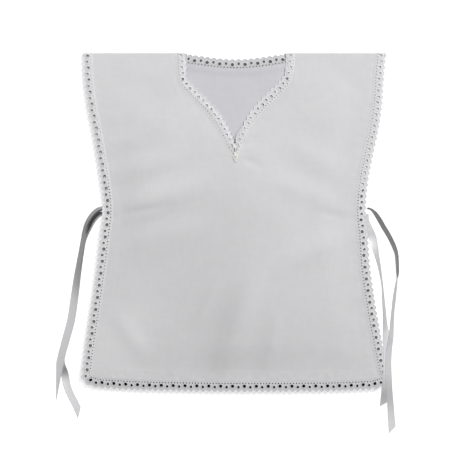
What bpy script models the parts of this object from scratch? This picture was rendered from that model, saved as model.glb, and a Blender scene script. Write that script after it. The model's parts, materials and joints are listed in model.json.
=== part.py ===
"""A child's baptismal smock, laid flat: a front and a back panel joined at the shoulders,
eyelet lace round every free edge and two pairs of satin ribbon ties at the waist.

Metres, +Z up. The smock lies on Z = 0, its shoulders towards +Y and its hem towards -Y, and the
origin is under the middle of the smock without its ribbons. Tables are in millimetres, measured
from that middle, apart from the columns named "down", which run from the shoulder fold.
"""
import bisect
import math
from collections import namedtuple

import bmesh
import bpy
from mathutils import Vector

MM = 0.001

# Driving sizes
LENGTH = 400.0            # shoulder fold to the tips of the hem lace
SHOULDER_Y = 199.2        # the shoulder fold's place
WALL = 1.0                # cloth and lace
GAP = 0.3                 # between pieces that are sewn together
SEAM = 0.5                # between a curved panel edge and its lace
FRONT_REST = 1.8          # middle of the front panel's wall where it lies on the back panel
FOLD_RADIUS = 1.3         # the front panel's roll over the shoulder, in the middle of its wall

# Eyelet lace
LACE_WIDTH = 13.3         # from the tips to the sewn edge
REPEAT = 14.2             # one large eyelet and two teeth
TOOTH_DEPTH = 2.2
EYELET_DIAMETER = 4.1
EYELET_ACROSS = 6.9       # from the tips to the eyelet's middle
EYELET_SIDES = 8
MITRE_ACROSS = 10.4       # from a hem corner's sewn edges out to the middle of its chamfer
MITRE_DOWN = 7.6
CORNER_EASE = 10.0        # length of side lace that is eased round a hem corner

# Ribbon ties
RIBBON_WIDTH = 9.0
RIBBON_STEP = 7.0         # between a ribbon's cross sections
RIBBON_NEST = 1.8         # between the middles of two ribbons that lie face to face
BLUNTNESS = 0.96          # share of the width that a slanting end cut takes

# Panel grids
ROW_STEP = 13.0
NECK_ROW_STEP = 6.5
COLUMNS = 12              # in each half of a panel
HEM_FADE = 6              # power by which the rows straighten above the curved hem
CURVE_PARTS = 60          # in a curve that is read off again by height
FOLD_PARTS = 6            # in the line of a fold

Side = namedtuple("Side", "down left right")
Rim = namedtuple("Rim", "across down")
Band = namedtuple("Band", "tip_x tip_y sewn_x sewn_y")
Fold = namedtuple("Fold", "x1 y1 x2 y2 x3 y3 reach height")
Tie = namedtuple("Tie", "x y roll lift")

# Tips of the front panel's side lace
FRONT_SIDES = [
    Side(0.0, -181.0, 178.2),
    Side(32.0, -180.0, 175.4),
    Side(67.0, -175.4, 172.9),
    Side(103.0, -168.2, 167.0),
    Side(138.0, -162.8, 159.2),
    Side(179.0, -157.0, 154.2),
    Side(209.0, -159.6, 156.2),
    Side(244.0, -163.6, 158.4),
    Side(291.0, -169.9, 164.6),
    Side(339.0, -177.2, 173.2),
    Side(384.0, -182.9, 182.9),
]
# Tips of the front panel's hem lace
FRONT_HEM = [
    Rim(-182.9, 389.0),
    Rim(-168.0, 394.0),
    Rim(-148.0, 396.4),
    Rim(-100.0, 398.6),
    Rim(0.0, LENGTH),
    Rim(100.0, 399.6),
    Rim(152.0, 398.2),
    Rim(168.0, 396.0),
    Rim(182.9, 392.0),
]
# How far the back panel's lace lies inside the front panel's
BACK_INSET = [
    Side(0.0, 1.2, 1.2),
    Side(100.0, 4.0, 4.0),
    Side(179.0, 7.0, 7.0),
    Side(270.0, 10.5, 10.5),
    Side(384.0, 17.0, 17.5),
]
BACK_SHORTER = 11.5       # the back panel's hem above the front panel's

# Lace round the V neck, from the shoulder fold to the point of the V
NECK_LEFT = [
    Band(-58.6, 199.2, -70.2, 199.2),
    Band(-57.6, 186.0, -70.2, 186.0),
    Band(-56.9, 172.6, -69.3, 172.0),
    Band(-55.4, 168.0, -66.2, 161.4),
    Band(-50.5, 162.9, -59.8, 153.4),
    Band(-39.5, 151.9, -49.0, 142.5),
    Band(-27.7, 140.1, -37.2, 130.1),
    Band(-17.1, 126.3, -27.7, 117.7),
    Band(-8.3, 111.2, -19.5, 104.7),
    Band(-3.5, 100.6, -11.2, 89.4),
    Band(-0.2, 90.0, -0.2, 69.0),
]
NECK_RIGHT = [
    Band(58.6, 199.2, 70.2, 199.2),
    Band(59.9, 186.1, 70.0, 184.0),
    Band(58.4, 177.3, 68.6, 175.5),
    Band(54.3, 169.0, 65.4, 164.9),
    Band(47.8, 162.5, 58.0, 154.3),
    Band(36.0, 151.3, 45.6, 141.9),
    Band(25.4, 140.7, 35.4, 131.9),
    Band(16.2, 128.9, 26.6, 121.2),
    Band(10.0, 118.3, 19.6, 113.0),
    Band(6.1, 108.7, 13.0, 103.6),
    Band(3.0, 100.0, 7.7, 91.0),
    Band(0.2, 90.0, 0.2, 69.0),
]
# Lace round the back neckline, from the left shoulder to the middle
BACK_NECK = [
    Band(-57.6, 198.2, -69.6, 197.6),
    Band(-56.2, 197.6, -65.9, 188.2),
    Band(-52.4, 197.2, -57.2, 184.9),
    Band(-41.5, 195.8, -44.4, 182.6),
    Band(-20.6, 193.0, -22.0, 179.8),
    Band(0.0, 191.8, 0.0, 178.5),
]

# Folds of the front panel, each along a line of three points: + is a ridge, - a trough
FRONT_FOLDS = [
    Fold(24, 144, 29, -31, 34, -206, 92, 5.6),
    Fold(-174, 2, -101, 24, -5, 56, 23, 3.0),
    Fold(-160, 4, -124, 12, -84, 20, 5, -0.5),
    Fold(-162, -42, -94, -17, 0, -3, 21, 1.1),
    Fold(-168, 46, -115, 62, -42, 88, 19, 2.0),
    Fold(-162, 90, -140, 92, -106, 104, 14, 1.5),
    Fold(-165, 121, -150, 121, -126, 125, 10, 1.0),
    Fold(-177, 171, -121, 162, -66, 155, 22, -1.0),
    Fold(-139, 112, -96, 109, -53, 110, 30, 1.2),
    Fold(-165, -88, -127, -131, -92, -180, 14, 0.9),
    Fold(-114, -30, -104, -76, -100, -128, 40, -0.7),
    Fold(36, -34, -4, -142, -28, -204, 22, 3.2),
    Fold(-17, -54, -33, -95, -56, -136, 10, 0.5),
    Fold(52, -88, 42, -148, 25, -204, 12, 0.8),
    Fold(159, -3, 92, 31, 6, 57, 18, 1.0),
    Fold(160, -1, 128, 5, 93, 14, 6, -0.4),
    Fold(157, 45, 99, 71, 53, 105, 20, 1.1),
    Fold(158, -13, 95, -33, 28, -74, 20, 1.6),
    Fold(165, 183, 140, 171, 123, 147, 16, -0.8),
    Fold(72, 146, 102, 124, 136, 110, 36, 0.9),
    Fold(165, -86, 142, -101, 121, -113, 10, -0.7),
    Fold(176, -134, 160, -149, 143, -167, 14, 1.3),
    Fold(2, 88, 16, 85, 35, 76, 6, -0.5),
    Fold(2, 75, 19, 70, 38, 60, 6, -0.5),
    Fold(-66, 175, -34, 139, -2, 84, 22, -1.1),
    Fold(68, 175, 33, 139, 2, 84, 22, -1.3),
]
BILLOW = 1.0              # how far the front panel stands off the back panel inside its edges
BILLOW_REACH = 45.0       # from the edges to the full billow
EDGE_SHARE = 0.3          # of a fold's height that is left at the sewn edges
FOLD_STEEPNESS = 1.6      # of the bell shape across a fold
FOLD_TAPER = 0.4          # share of a fold's line over which each end fades
SOFTNESS = 0.35           # rounding where a trough reaches the back panel
SHOULDER_REACH = 16.0     # from the shoulder roll to where the folds have their full height

# Ribbon ties, from the side lace to their free ends
LEFT_FRONT_TIE = [
    Tie(-156.7, 15.6, -58, 0.5),
    Tie(-162.5, 13.4, -46, 0.5),
    Tie(-168.9, 7.2, -42, 0.5),
    Tie(-173.9, -0.7, -44, 0.6),
    Tie(-177.0, -9.1, -48, 0.8),
    Tie(-179.2, -20.0, -50, 1.27),
    Tie(-182.2, -36.0, -52, 1.22),
    Tie(-184.4, -49.5, -46, 1.36),
    Tie(-186.9, -66.4, -34, 1.6),
    Tie(-188.8, -81.7, -20, 1.8),
    Tie(-190.2, -92.3, -12, 1.9),
    Tie(-193.8, -115.9, -8, 1.9),
    Tie(-200.1, -139.5, -8, 1.9),
    Tie(-206.0, -163.1, -8, 1.9),
    Tie(-211.0, -186.7, -6, 1.3),
    Tie(-215.8, -210.3, -4, 0.4),
]
LEFT_BACK_ROOT = [
    Tie(-156.9, 9.8, -56, 0.1),
    Tie(-161.5, 7.6, -46, 0.1),
    Tie(-166.4, 2.6, -44, 0.1),
    Tie(-170.6, -4.6, -48, 0.1),
]
LEFT_BACK_END = [
    Tie(-201.4, -180.0, 6, 0.05),
    Tie(-198.6, -193.0, 28, 0.05),
    Tie(-194.6, -203.0, 34, 0.05),
    Tie(-189.8, -212.5, 34, 0.05),
    Tie(-184.8, -223.0, 32, 0.05),
    Tie(-182.2, -229.5, 30, 0.05),
]
LEFT_SHARED = (5, 13)     # rows of the front tie that the back tie lies under
RIGHT_FRONT_TIE = [
    Tie(154.5, 15.6, 98, 0.5),
    Tie(159.4, 13.9, 102, 0.5),
    Tie(163.6, 10.6, 113, 0.5),
    Tie(169.0, 3.0, 122, 0.5),
    Tie(173.9, -5.7, 123, 0.5),
    Tie(179.0, -14.1, 122, 0.5),
    Tie(183.6, -22.7, 121, 0.5),
    Tie(187.1, -31.0, 118, 0.5),
    Tie(189.3, -39.2, 112, 0.5),
    Tie(190.2, -54.0, 108, 0.5),
    Tie(190.1, -61.0, 104, 0.5),
    Tie(189.5, -68.5, 76, 0.5),
    Tie(188.6, -76.0, 66, 0.5),
    Tie(186.8, -90.0, 59, 0.6),
    Tie(185.2, -104.0, 60, 0.8),
    Tie(184.2, -116.0, 56, 1.4),
    Tie(183.4, -127.0, 50, 3.0),
    Tie(182.3, -136.0, 42, 4.7),
    Tie(180.6, -148.0, 35, 4.5),
    Tie(179.5, -165.0, 33, 4.4),
    Tie(180.0, -184.3, 33, 4.3),
    Tie(181.0, -202.0, 32, 4.1),
    Tie(182.4, -218.0, 27, 2.6),
    Tie(183.8, -235.0, 20, 0.8),
    Tie(185.0, -248.6, 12, 0.1),
]
RIGHT_BACK_TIE = [
    Tie(152.5, 9.0, 0, 0.05),
    Tie(153.4, 0.5, 0, 0.05),
    Tie(157.2, -8.5, -3, 0.05),
    Tie(160.9, -16.8, -5, 0.05),
    Tie(163.2, -25.0, 16, 0.1),
    Tie(165.9, -38.0, 44, 0.2),
    Tie(169.0, -52.0, 60, 0.2),
    Tie(172.2, -73.1, 72, 0.2),
    Tie(173.7, -90.0, 66, 0.2),
    Tie(174.9, -104.0, 60, 0.3),
    Tie(175.7, -116.0, 54, 0.4),
    Tie(176.3, -124.0, 44, 0.9),
    Tie(177.0, -131.0, 24, 2.0),
    Tie(177.6, -139.0, 6, 2.7),
    Tie(178.4, -152.0, 2, 2.8),
    Tie(178.2, -170.0, 2, 2.8),
    Tie(177.2, -188.0, 2, 2.8),
    Tie(175.8, -203.0, 3, 2.7),
    Tie(174.4, -218.0, 6, 0.8),
]
# How much shorter a ribbon's end is on its left edge, with the hem downwards (- on its right)
END_CUTS = {
    "ribbon_left_front": 44.0,
    "ribbon_left_back": -10.0,
    "ribbon_right_front": -6.7,
    "ribbon_right_back": -6.0,
}

# Colour, roughness and sheen of each kind of piece
FINISHES = {
    "cloth_front": ((0.66, 0.66, 0.67), 0.85, 0.3),
    "cloth_back": ((0.60, 0.60, 0.63), 0.85, 0.3),
    "lace": ((0.73, 0.73, 0.74), 0.8, 0.2),
    "ribbon": ((0.62, 0.62, 0.64), 0.4, 0.5),
}


def clear_scene():
    for item in list(bpy.data.objects):
        bpy.data.objects.remove(item, do_unlink=True)


def material(name):
    colour, roughness, sheen = FINISHES[name]
    made = bpy.data.materials.get(name) or bpy.data.materials.new(name)
    made.use_nodes = True
    shader = made.node_tree.nodes["Principled BSDF"]
    shader.inputs["Base Color"].default_value = (*colour, 1.0)
    shader.inputs["Roughness"].default_value = roughness
    shader.inputs["Metallic"].default_value = 0.0
    shader.inputs["Sheen Weight"].default_value = sheen
    return made


def add_object(name, mesh_builder, finish, smooth=None):
    """One closed mesh, in metres, as an object with its own copy of the finish."""
    bmesh.ops.recalc_face_normals(mesh_builder, faces=mesh_builder.faces)
    bmesh.ops.scale(mesh_builder, vec=(MM, MM, MM), verts=mesh_builder.verts)
    mesh = bpy.data.meshes.new(name)
    mesh_builder.to_mesh(mesh)
    mesh_builder.free()
    made = bpy.data.objects.new(name, mesh)
    finish_copy = material(finish).copy()
    finish_copy.name = name + "_finish"
    mesh.materials.append(finish_copy)
    bpy.context.scene.collection.objects.link(made)
    if smooth:
        mesh.shade_smooth()
        mesh.set_sharp_from_angle(angle=math.radians(smooth))
    return made


# Curves through short tables

def spline(points, place):
    """Catmull-Rom curve through equal-length tuples; place runs from 0 to len(points) - 1."""
    last = len(points) - 1
    index = min(max(int(math.floor(place)), 0), last - 1)
    t = place - index
    before = points[max(index - 1, 0)]
    start, end = points[index], points[index + 1]
    after = points[min(index + 2, last)]
    value = []
    for a, b, c, d in zip(before, start, end, after):
        value.append(0.5 * (2 * b + (c - a) * t + (2 * a - 5 * b + 4 * c - d) * t ** 2
                            + (3 * b - a - 3 * c + d) * t ** 3))
    return tuple(value)


def by_column(rows, column, at):
    """Smooth value of a table's other columns where its first column equals at."""
    keys = [row[0] for row in rows]
    values = [row[column] for row in rows]
    at = min(max(at, keys[0]), keys[-1])
    index = min(max(bisect.bisect_right(keys, at) - 1, 0), len(keys) - 2)
    width = keys[index + 1] - keys[index]
    t = (at - keys[index]) / width

    def slope(i):
        low, high = max(i - 1, 0), min(i + 1, len(keys) - 1)
        return (values[high] - values[low]) / (keys[high] - keys[low])

    a, b = values[index], values[index + 1]
    return (a * (1 + 2 * t) * (1 - t) ** 2 + b * t * t * (3 - 2 * t)
            + slope(index) * width * t * (1 - t) ** 2 - slope(index + 1) * width * t * t * (1 - t))


def smooth_step(value):
    value = min(max(value, 0.0), 1.0)
    return value * value * (3 - 2 * value)


# Outline of the panels, with side = -1 for the left and 1 for the right

def front_tip(side, y):
    return by_column(FRONT_SIDES, 1 if side < 0 else 2, SHOULDER_Y - y)


def back_tip(side, y):
    inset = by_column(BACK_INSET, 1 if side < 0 else 2, SHOULDER_Y - y)
    return front_tip(side, y) - side * inset


def front_hem_tip(x):
    return SHOULDER_Y - by_column(FRONT_HEM, 1, x)


def back_hem_tip(x):
    return front_hem_tip(x) + BACK_SHORTER


def sewn_x(tip, side, y):
    """Sewn edge of a side's lace, which lies a lace width inside its tips."""
    step = 1.0
    slope = (tip(side, y + step) - tip(side, y - step)) / (2 * step)
    return tip(side, y) - side * LACE_WIDTH * math.hypot(1.0, slope)


def sewn_y(hem_tip, x):
    return hem_tip(x) + LACE_WIDTH


def sewn_corner(tip, hem_tip, side):
    """Where the sewn edges of the side lace and the hem lace meet."""
    x, y = tip(side, -180.0), -180.0
    for _ in range(6):
        y = sewn_y(hem_tip, x)
        x = sewn_x(tip, side, y)
    return Vector((x, y))


def neck_curve(bands):
    """The sewn edge of one side of the V neck as points with rising y."""
    last = len(bands) - 1
    found = [spline(bands, last * i / CURVE_PARTS)[2:] for i in range(CURVE_PARTS + 1)]
    return sorted(found, key=lambda point: point[1])


NECK_EDGES = {-1: neck_curve(NECK_LEFT), 1: neck_curve(NECK_RIGHT)}
NECK_POINT_Y = NECK_EDGES[1][0][1]


def between(points, y):
    """x on a list of points sorted by y."""
    heights = [point[1] for point in points]
    index = min(max(bisect.bisect_right(heights, y) - 1, 0), len(points) - 2)
    low, high = points[index], points[index + 1]
    share = (y - low[1]) / max(high[1] - low[1], 1e-9)
    return low[0] + (high[0] - low[0]) * min(max(share, 0.0), 1.0)


# Lie of the front panel

def fold_line(fold):
    """Points of the curve that starts, passes its middle and ends where the fold's row says."""
    bend_x = 2 * fold.x2 - (fold.x1 + fold.x3) / 2
    bend_y = 2 * fold.y2 - (fold.y1 + fold.y3) / 2
    points = []
    for i in range(FOLD_PARTS + 1):
        t = i / FOLD_PARTS
        points.append(((1 - t) ** 2 * fold.x1 + 2 * t * (1 - t) * bend_x + t * t * fold.x3,
                       (1 - t) ** 2 * fold.y1 + 2 * t * (1 - t) * bend_y + t * t * fold.y3))
    return points


FOLD_LINES = [(fold, fold_line(fold)) for fold in FRONT_FOLDS]


def near_line(x, y, points):
    """Distance from a point to a line of points, and the share of the line before that place."""
    best, along = math.inf, 0.0
    for i in range(len(points) - 1):
        (ax, ay), (bx, by) = points[i], points[i + 1]
        dx, dy = bx - ax, by - ay
        share = min(max(((x - ax) * dx + (y - ay) * dy) / (dx * dx + dy * dy), 0.0), 1.0)
        apart = math.hypot(x - ax - dx * share, y - ay - dy * share)
        if apart < best:
            best, along = apart, (i + share) / (len(points) - 1)
    return best, along


def edge_distance(x, y):
    """How far a place on the front lies inside its sides, its hem and its shoulder fold."""
    side = min(x - sewn_x(front_tip, -1, y), sewn_x(front_tip, 1, y) - x)
    return min(side, y - sewn_y(front_hem_tip, x), SHOULDER_Y - FOLD_RADIUS - y)


def front_height(x, y):
    """Middle of the front panel's wall, or of its lace, above the surface it lies on."""
    inside = smooth_step(edge_distance(x, y) / BILLOW_REACH)
    lift = BILLOW * inside
    for fold, points in FOLD_LINES:
        apart, along = near_line(x, y, points)
        if apart < 2 * fold.reach:
            across = math.exp(-FOLD_STEEPNESS * (apart / fold.reach) ** 2)
            ends = smooth_step(min(along, 1 - along) / FOLD_TAPER)
            lift += fold.height * across * ends * (EDGE_SHARE + (1 - EDGE_SHARE) * inside)
    lift = (lift + math.hypot(lift, SOFTNESS) - SOFTNESS) / 2
    shoulder = smooth_step((SHOULDER_Y - FOLD_RADIUS - y) / SHOULDER_REACH)
    return FRONT_REST + max(lift, 0.0) * shoulder


def front_point(x, y, offset):
    """A point of the front panel; past the fold line it runs down over the shoulder."""
    start = SHOULDER_Y - FOLD_RADIUS
    if y <= start:
        return Vector((x, y, front_height(x, y) + offset))
    run = y - start
    quarter = FOLD_RADIUS * math.pi / 2
    turn = min(run, quarter) / FOLD_RADIUS
    radius = FOLD_RADIUS + offset
    drop = max(run - quarter, 0.0)
    return Vector((x, start + radius * math.sin(turn),
                   FRONT_REST - FOLD_RADIUS + radius * math.cos(turn) - drop))


def front_point_lace(x, y, offset):
    """The front's lace keeps level with the panel beside it and ends flat at the shoulder."""
    return Vector((x, y, front_height(x, min(y, SHOULDER_Y - FOLD_RADIUS)) + offset))


def flat_point(x, y, offset):
    """A point of the back panel, or of its lace, which lie flat."""
    return Vector((x, y, WALL / 2 + offset))


# Cloth panels

def panel_rows(bottom, top, neck_point):
    rows = []
    count = round((neck_point - bottom) / ROW_STEP)
    rows += [bottom + (neck_point - bottom) * i / count for i in range(count)]
    count = round((top - neck_point) / NECK_ROW_STEP)
    rows += [neck_point + (top - neck_point) * i / count for i in range(count + 1)]
    return rows


def thick_grid(rows, place):
    """Closed wall from a grid of flat points: a row is a pair of halves, each from side to middle.

    Where both halves end in the same point, the panel is whole; elsewhere the neck parts it.
    """
    builder = bmesh.new()
    layers = {}
    for offset in (WALL / 2, -WALL / 2):
        made = []
        for halves in rows:
            left = [builder.verts.new(place(x, y, offset)) for x, y in halves[0]]
            whole = halves[0][-1] == halves[1][-1]
            right = [builder.verts.new(place(x, y, offset)) for x, y in halves[1][:-1]]
            right.append(left[-1] if whole else builder.verts.new(place(*halves[1][-1], offset)))
            made.append((left, right))
        layers[offset] = made
    top, under = layers[WALL / 2], layers[-WALL / 2]
    for row in range(len(rows) - 1):
        for half in (0, 1):
            for layer in (top, under):
                low, high = layer[row][half], layer[row + 1][half]
                for i in range(COLUMNS):
                    builder.faces.new((low[i], low[i + 1], high[i + 1], high[i]))
            for i, bounds in ((0, True), (COLUMNS, rows[row + 1][0][-1] != rows[row + 1][1][-1])):
                if bounds:
                    wall = (top[row][half][i], top[row + 1][half][i],
                            under[row + 1][half][i], under[row][half][i])
                    builder.faces.new(wall)
    for row in (0, len(rows) - 1):
        for half in (0, 1):
            for i in range(COLUMNS):
                builder.faces.new((top[row][half][i], top[row][half][i + 1],
                                   under[row][half][i + 1], under[row][half][i]))
    return builder


def panel_grid(levels, tip, hem_tip, neck_x, fold_rows):
    """Rows of flat points between the side seams, parted by the neck above its point."""
    bottom, top = levels[0], levels[-1]
    rows = []
    for level in levels + fold_rows:
        whole = neck_x(1, level) is None
        halves = []
        for side in (-1, 1):
            inner = 0.0 if whole else neck_x(side, level)
            outer = sewn_x(tip, side, level) - side * SEAM
            half = []
            for i in range(COLUMNS + 1):
                x = outer + (inner - outer) * i / COLUMNS
                sag = sewn_y(hem_tip, x) + SEAM - bottom
                share = min(max((level - bottom) / (top - bottom), 0.0), 1.0)
                y = level + sag * (1 - share) ** HEM_FADE
                if i == 0:
                    x = sewn_x(tip, side, y) - side * SEAM
                half.append((x, y))
            halves.append(half)
        rows.append(halves)
    return rows


def front_neck_x(side, y):
    if y <= NECK_POINT_Y - 2 * SEAM + 1e-6:
        return None
    return between(NECK_EDGES[side], y) + side * SEAM * 1.4


def make_front_panel():
    start = SHOULDER_Y - FOLD_RADIUS
    bottom = sewn_y(front_hem_tip, 0.0) + SEAM
    levels = panel_rows(bottom, start, NECK_POINT_Y - 2 * SEAM)
    quarter = FOLD_RADIUS * math.pi / 2
    folded = [start + quarter / 2, start + quarter, start + quarter + FRONT_REST - FOLD_RADIUS]
    rows = panel_grid(levels, front_tip, front_hem_tip, front_neck_x, folded)
    add_object("front_panel", thick_grid(rows, front_point), "cloth_front", smooth=50)


def back_neck_edge():
    """The back neckline's sewn edge from the left shoulder to the right one."""
    last = len(BACK_NECK) - 1
    left = [spline(BACK_NECK, last * i / 20)[2:] for i in range(21)]
    return left + [(-x, y) for x, y in reversed(left[:-1])]


def make_back_panel():
    """Flat wall with one outline: hem, sides, shoulders and neckline."""
    top = SHOULDER_Y - WALL / 2 - GAP
    corners = {side: sewn_corner(back_tip, back_hem_tip, side) for side in (-1, 1)}
    outline = []
    hem_parts, side_parts = 12, 16
    for i in range(hem_parts + 1):
        x = corners[-1].x + SEAM + (corners[1].x - corners[-1].x - 2 * SEAM) * i / hem_parts
        outline.append((x, sewn_y(back_hem_tip, x) + SEAM))
    for side in (1, -1):
        low = outline[-1][1] if side > 0 else outline[0][1]
        places = [low + (top - low) * i / side_parts for i in range(side_parts + 1)]
        run = [(sewn_x(back_tip, side, y) - side * SEAM, y) for y in places]
        if side > 0:
            outline += run[1:]
            neck = [(x, y - SEAM) for x, y in reversed(back_neck_edge())]
            neck[0] = (neck[0][0] + SEAM, top)
            neck[-1] = (neck[-1][0] - SEAM, top)
            outline += neck[::2]
        else:
            outline += list(reversed(run[1:]))
    builder = bmesh.new()
    under = [builder.verts.new(flat_point(x, y, -WALL / 2)) for x, y in outline]
    face = builder.faces.new(under)
    raised = bmesh.ops.extrude_face_region(builder, geom=[face])
    tops = [item for item in raised["geom"] if isinstance(item, bmesh.types.BMVert)]
    bmesh.ops.translate(builder, vec=(0, 0, WALL), verts=tops)
    bmesh.ops.triangulate(builder, faces=builder.faces)
    add_object("back_panel", builder, "cloth_back")


# Lace

def zip_loops(builder, outer, inner, centre):
    """Triangles between two loops of vertices round a centre, matched by angle."""
    def angle(item):
        return math.atan2(item[0][1] - centre[1], item[0][0] - centre[0])

    outer, inner = sorted(outer, key=angle), sorted(inner, key=angle)
    i = j = 0
    while i < len(outer) or j < len(inner):
        next_outer = angle(outer[i + 1]) if i + 1 < len(outer) else math.inf
        next_inner = angle(inner[j + 1]) if j + 1 < len(inner) else math.inf
        a, b = outer[i % len(outer)][1], inner[j % len(inner)][1]
        if i < len(outer) and (next_outer <= next_inner or j >= len(inner)):
            builder.faces.new((a, outer[(i + 1) % len(outer)][1], b))
            i += 1
        else:
            builder.faces.new((a, inner[(j + 1) % len(inner)][1], b))
            j += 1


def lace_strip(bands, place, plain_start=0, plain_end=0, short=GAP / 2):
    """Closed wall of eyelet lace between its tips and its sewn edge.

    bands are cross sections from one end to the other. Each repeat has two teeth, and a large
    eyelet behind the first one, which the repeats next to a plain end leave out.
    """
    fine = 40 * (len(bands) - 1)
    cut = [spline(bands, (len(bands) - 1) * i / fine) for i in range(fine + 1)]
    middles = [Vector(((a + c) / 2, (b + d) / 2)) for a, b, c, d in cut]
    runs = [0.0]
    for first, second in zip(middles, middles[1:]):
        runs.append(runs[-1] + (second - first).length)
    total = runs[-1]
    count = max(round((total - 2 * short) / REPEAT), 1)

    def at(along, across):
        """Flat point; along counts repeats, across runs from 0 at the tips to 1 when sewn."""
        run = short + (total - 2 * short) * along / count
        index = min(max(bisect.bisect_right(runs, run) - 1, 0), fine - 1)
        share = (run - runs[index]) / (runs[index + 1] - runs[index])
        section = [p + (q - p) * share for p, q in zip(cut[index], cut[index + 1])]
        return (section[0] + (section[2] - section[0]) * across,
                section[1] + (section[3] - section[1]) * across)

    builder = bmesh.new()
    notch = TOOTH_DEPTH / LACE_WIDTH
    middle = EYELET_ACROSS / LACE_WIDTH
    quarters = [(0.0, notch), (0.25, 0.0), (0.5, notch), (0.75, 0.0)]
    layers = []
    for offset in (WALL / 2, -WALL / 2):
        def vertex(along, across):
            return builder.verts.new(place(*at(along, across), offset))

        edge, sewn, eyelets = [], [], []
        for i in range(count):
            edge += [vertex(i + a, b) for a, b in quarters]
            sewn += [vertex(i + half, 1.0) for half in (0.0, 0.5)]
            ring = []
            if plain_start <= i < count - plain_end:
                for k in range(EYELET_SIDES):
                    turn = 2 * math.pi * (k + 0.5) / EYELET_SIDES
                    a = 0.25 + EYELET_DIAMETER / 2 / REPEAT * math.cos(turn)
                    b = middle + EYELET_DIAMETER / 2 / LACE_WIDTH * math.sin(turn)
                    ring.append(((a, b), vertex(i + a, b)))
            eyelets.append(ring)
        edge.append(vertex(count, notch))
        sewn.append(vertex(count, 1.0))
        layers.append((edge, sewn, eyelets))
        for i in range(count):
            e, s = edge[4 * i:4 * i + 5], sewn[2 * i:2 * i + 3]
            if eyelets[i]:
                rim = [((0.0, notch), e[0]), ((0.25, 0.0), e[1]), ((0.5, notch), e[2]),
                       ((0.5, 1.0), s[1]), ((0.0, 1.0), s[0])]
                zip_loops(builder, rim, eyelets[i], (0.25, middle))
            else:
                builder.faces.new((e[0], e[1], e[2], s[1], s[0]))
            builder.faces.new((e[2], e[3], e[4], s[2], s[1]))
    (edge, sewn, eyelets), (low_edge, low_sewn, low_eyelets) = layers
    for high, low in ((edge, low_edge), (sewn, low_sewn)):
        for i in range(len(high) - 1):
            builder.faces.new((high[i], high[i + 1], low[i + 1], low[i]))
    for end in (0, -1):
        builder.faces.new((edge[end], sewn[end], low_sewn[end], low_edge[end]))
    for high, low in zip(eyelets, low_eyelets):
        for k in range(len(high)):
            following = (k + 1) % len(high)
            builder.faces.new((high[k][1], high[following][1], low[following][1], low[k][1]))
    bmesh.ops.triangulate(builder, faces=[face for face in builder.faces if len(face.verts) > 4])
    return builder


def side_bands(tip, hem_tip, side, top):
    """Cross sections of a side's lace from the shoulder to the mitred hem corner."""
    corner = sewn_corner(tip, hem_tip, side)
    bands = []
    low = corner.y + CORNER_EASE
    parts = 12
    for i in range(parts + 1):
        y = top + (low - top) * i / parts
        slope = (tip(side, y + 1) - tip(side, y - 1)) / 2
        x = tip(side, y)
        inward = Vector((-side, side * slope if i else 0.0)).normalized()
        bands.append(Band(x, y, x + inward.x * LACE_WIDTH, y + inward.y * LACE_WIDTH))
    outer = mitre_tip(corner, side)
    eased = corner.y - 0.15 * CORNER_EASE
    bands.append(Band(tip(side, eased), eased, corner.x, corner.y + 0.35 * CORNER_EASE))
    bands.append(Band(outer.x, outer.y, corner.x, corner.y))
    return bands


def mitre_tip(corner, side):
    """Outer end of a hem corner's mitre, on the chamfer that the lace makes there."""
    return corner + Vector((side * MITRE_ACROSS, -MITRE_DOWN))


def hem_bands(tip, hem_tip):
    corners = {side: sewn_corner(tip, hem_tip, side) for side in (-1, 1)}
    bands = []
    for side in (-1, 1):
        corner = corners[side]
        outer = mitre_tip(corner, side)
        x = corner.x + side * 0.35 * CORNER_EASE
        ends = [Band(outer.x, outer.y, corner.x, corner.y),
                Band(x, hem_tip(x), corner.x - side * 0.4 * CORNER_EASE, sewn_y(hem_tip, corner.x))]
        bands.append(ends)
    parts = 8
    middle = []
    for i in range(parts + 1):
        inner = corners[1].x - corners[-1].x - 2.2 * CORNER_EASE
        x = corners[-1].x + 1.1 * CORNER_EASE + inner * i / parts
        middle.append(Band(x, hem_tip(x), x, sewn_y(hem_tip, x)))
    return bands[0] + middle + list(reversed(bands[1]))


def make_lace():
    top = SHOULDER_Y - WALL / 2 - GAP
    names = {-1: "left", 1: "right"}
    for side, bands in ((-1, NECK_LEFT), (1, NECK_RIGHT)):
        strip = lace_strip(bands, front_point_lace, plain_end=2)
        add_object("front_neck_lace_" + names[side], strip, "lace")
    mirrored = [Band(-b.tip_x, b.tip_y, -b.sewn_x, b.sewn_y) for b in reversed(BACK_NECK[:-1])]
    add_object("back_neck_lace", lace_strip(BACK_NECK + mirrored, flat_point), "lace")
    for side in (-1, 1):
        strip = lace_strip(side_bands(front_tip, front_hem_tip, side, SHOULDER_Y), front_point_lace)
        add_object("front_side_lace_" + names[side], strip, "lace")
        strip = lace_strip(side_bands(back_tip, back_hem_tip, side, top), flat_point)
        add_object("back_side_lace_" + names[side], strip, "lace")
    strip = lace_strip(hem_bands(front_tip, front_hem_tip), front_point_lace)
    add_object("front_hem_lace", strip, "lace")
    strip = lace_strip(hem_bands(back_tip, back_hem_tip), flat_point)
    add_object("back_hem_lace", strip, "lace")


# Ribbons

def ribbon_frames(route):
    """Smooth middle line of a ribbon: place, run direction, width direction, face direction.

    The lower long edge lies on the surface, or lift above it. roll turns the ribbon about its
    run; 0 lies flat and + raises its left edge, seen from above with the hem downwards.
    """
    half, thick = RIBBON_WIDTH / 2, WALL / 2
    rows = []
    for tie in route:
        turn = math.radians(tie.roll)
        z = half * abs(math.sin(turn)) + thick * math.cos(turn) + tie.lift
        rows.append((tie.x, tie.y, z, tie.roll))
    return rows


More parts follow.
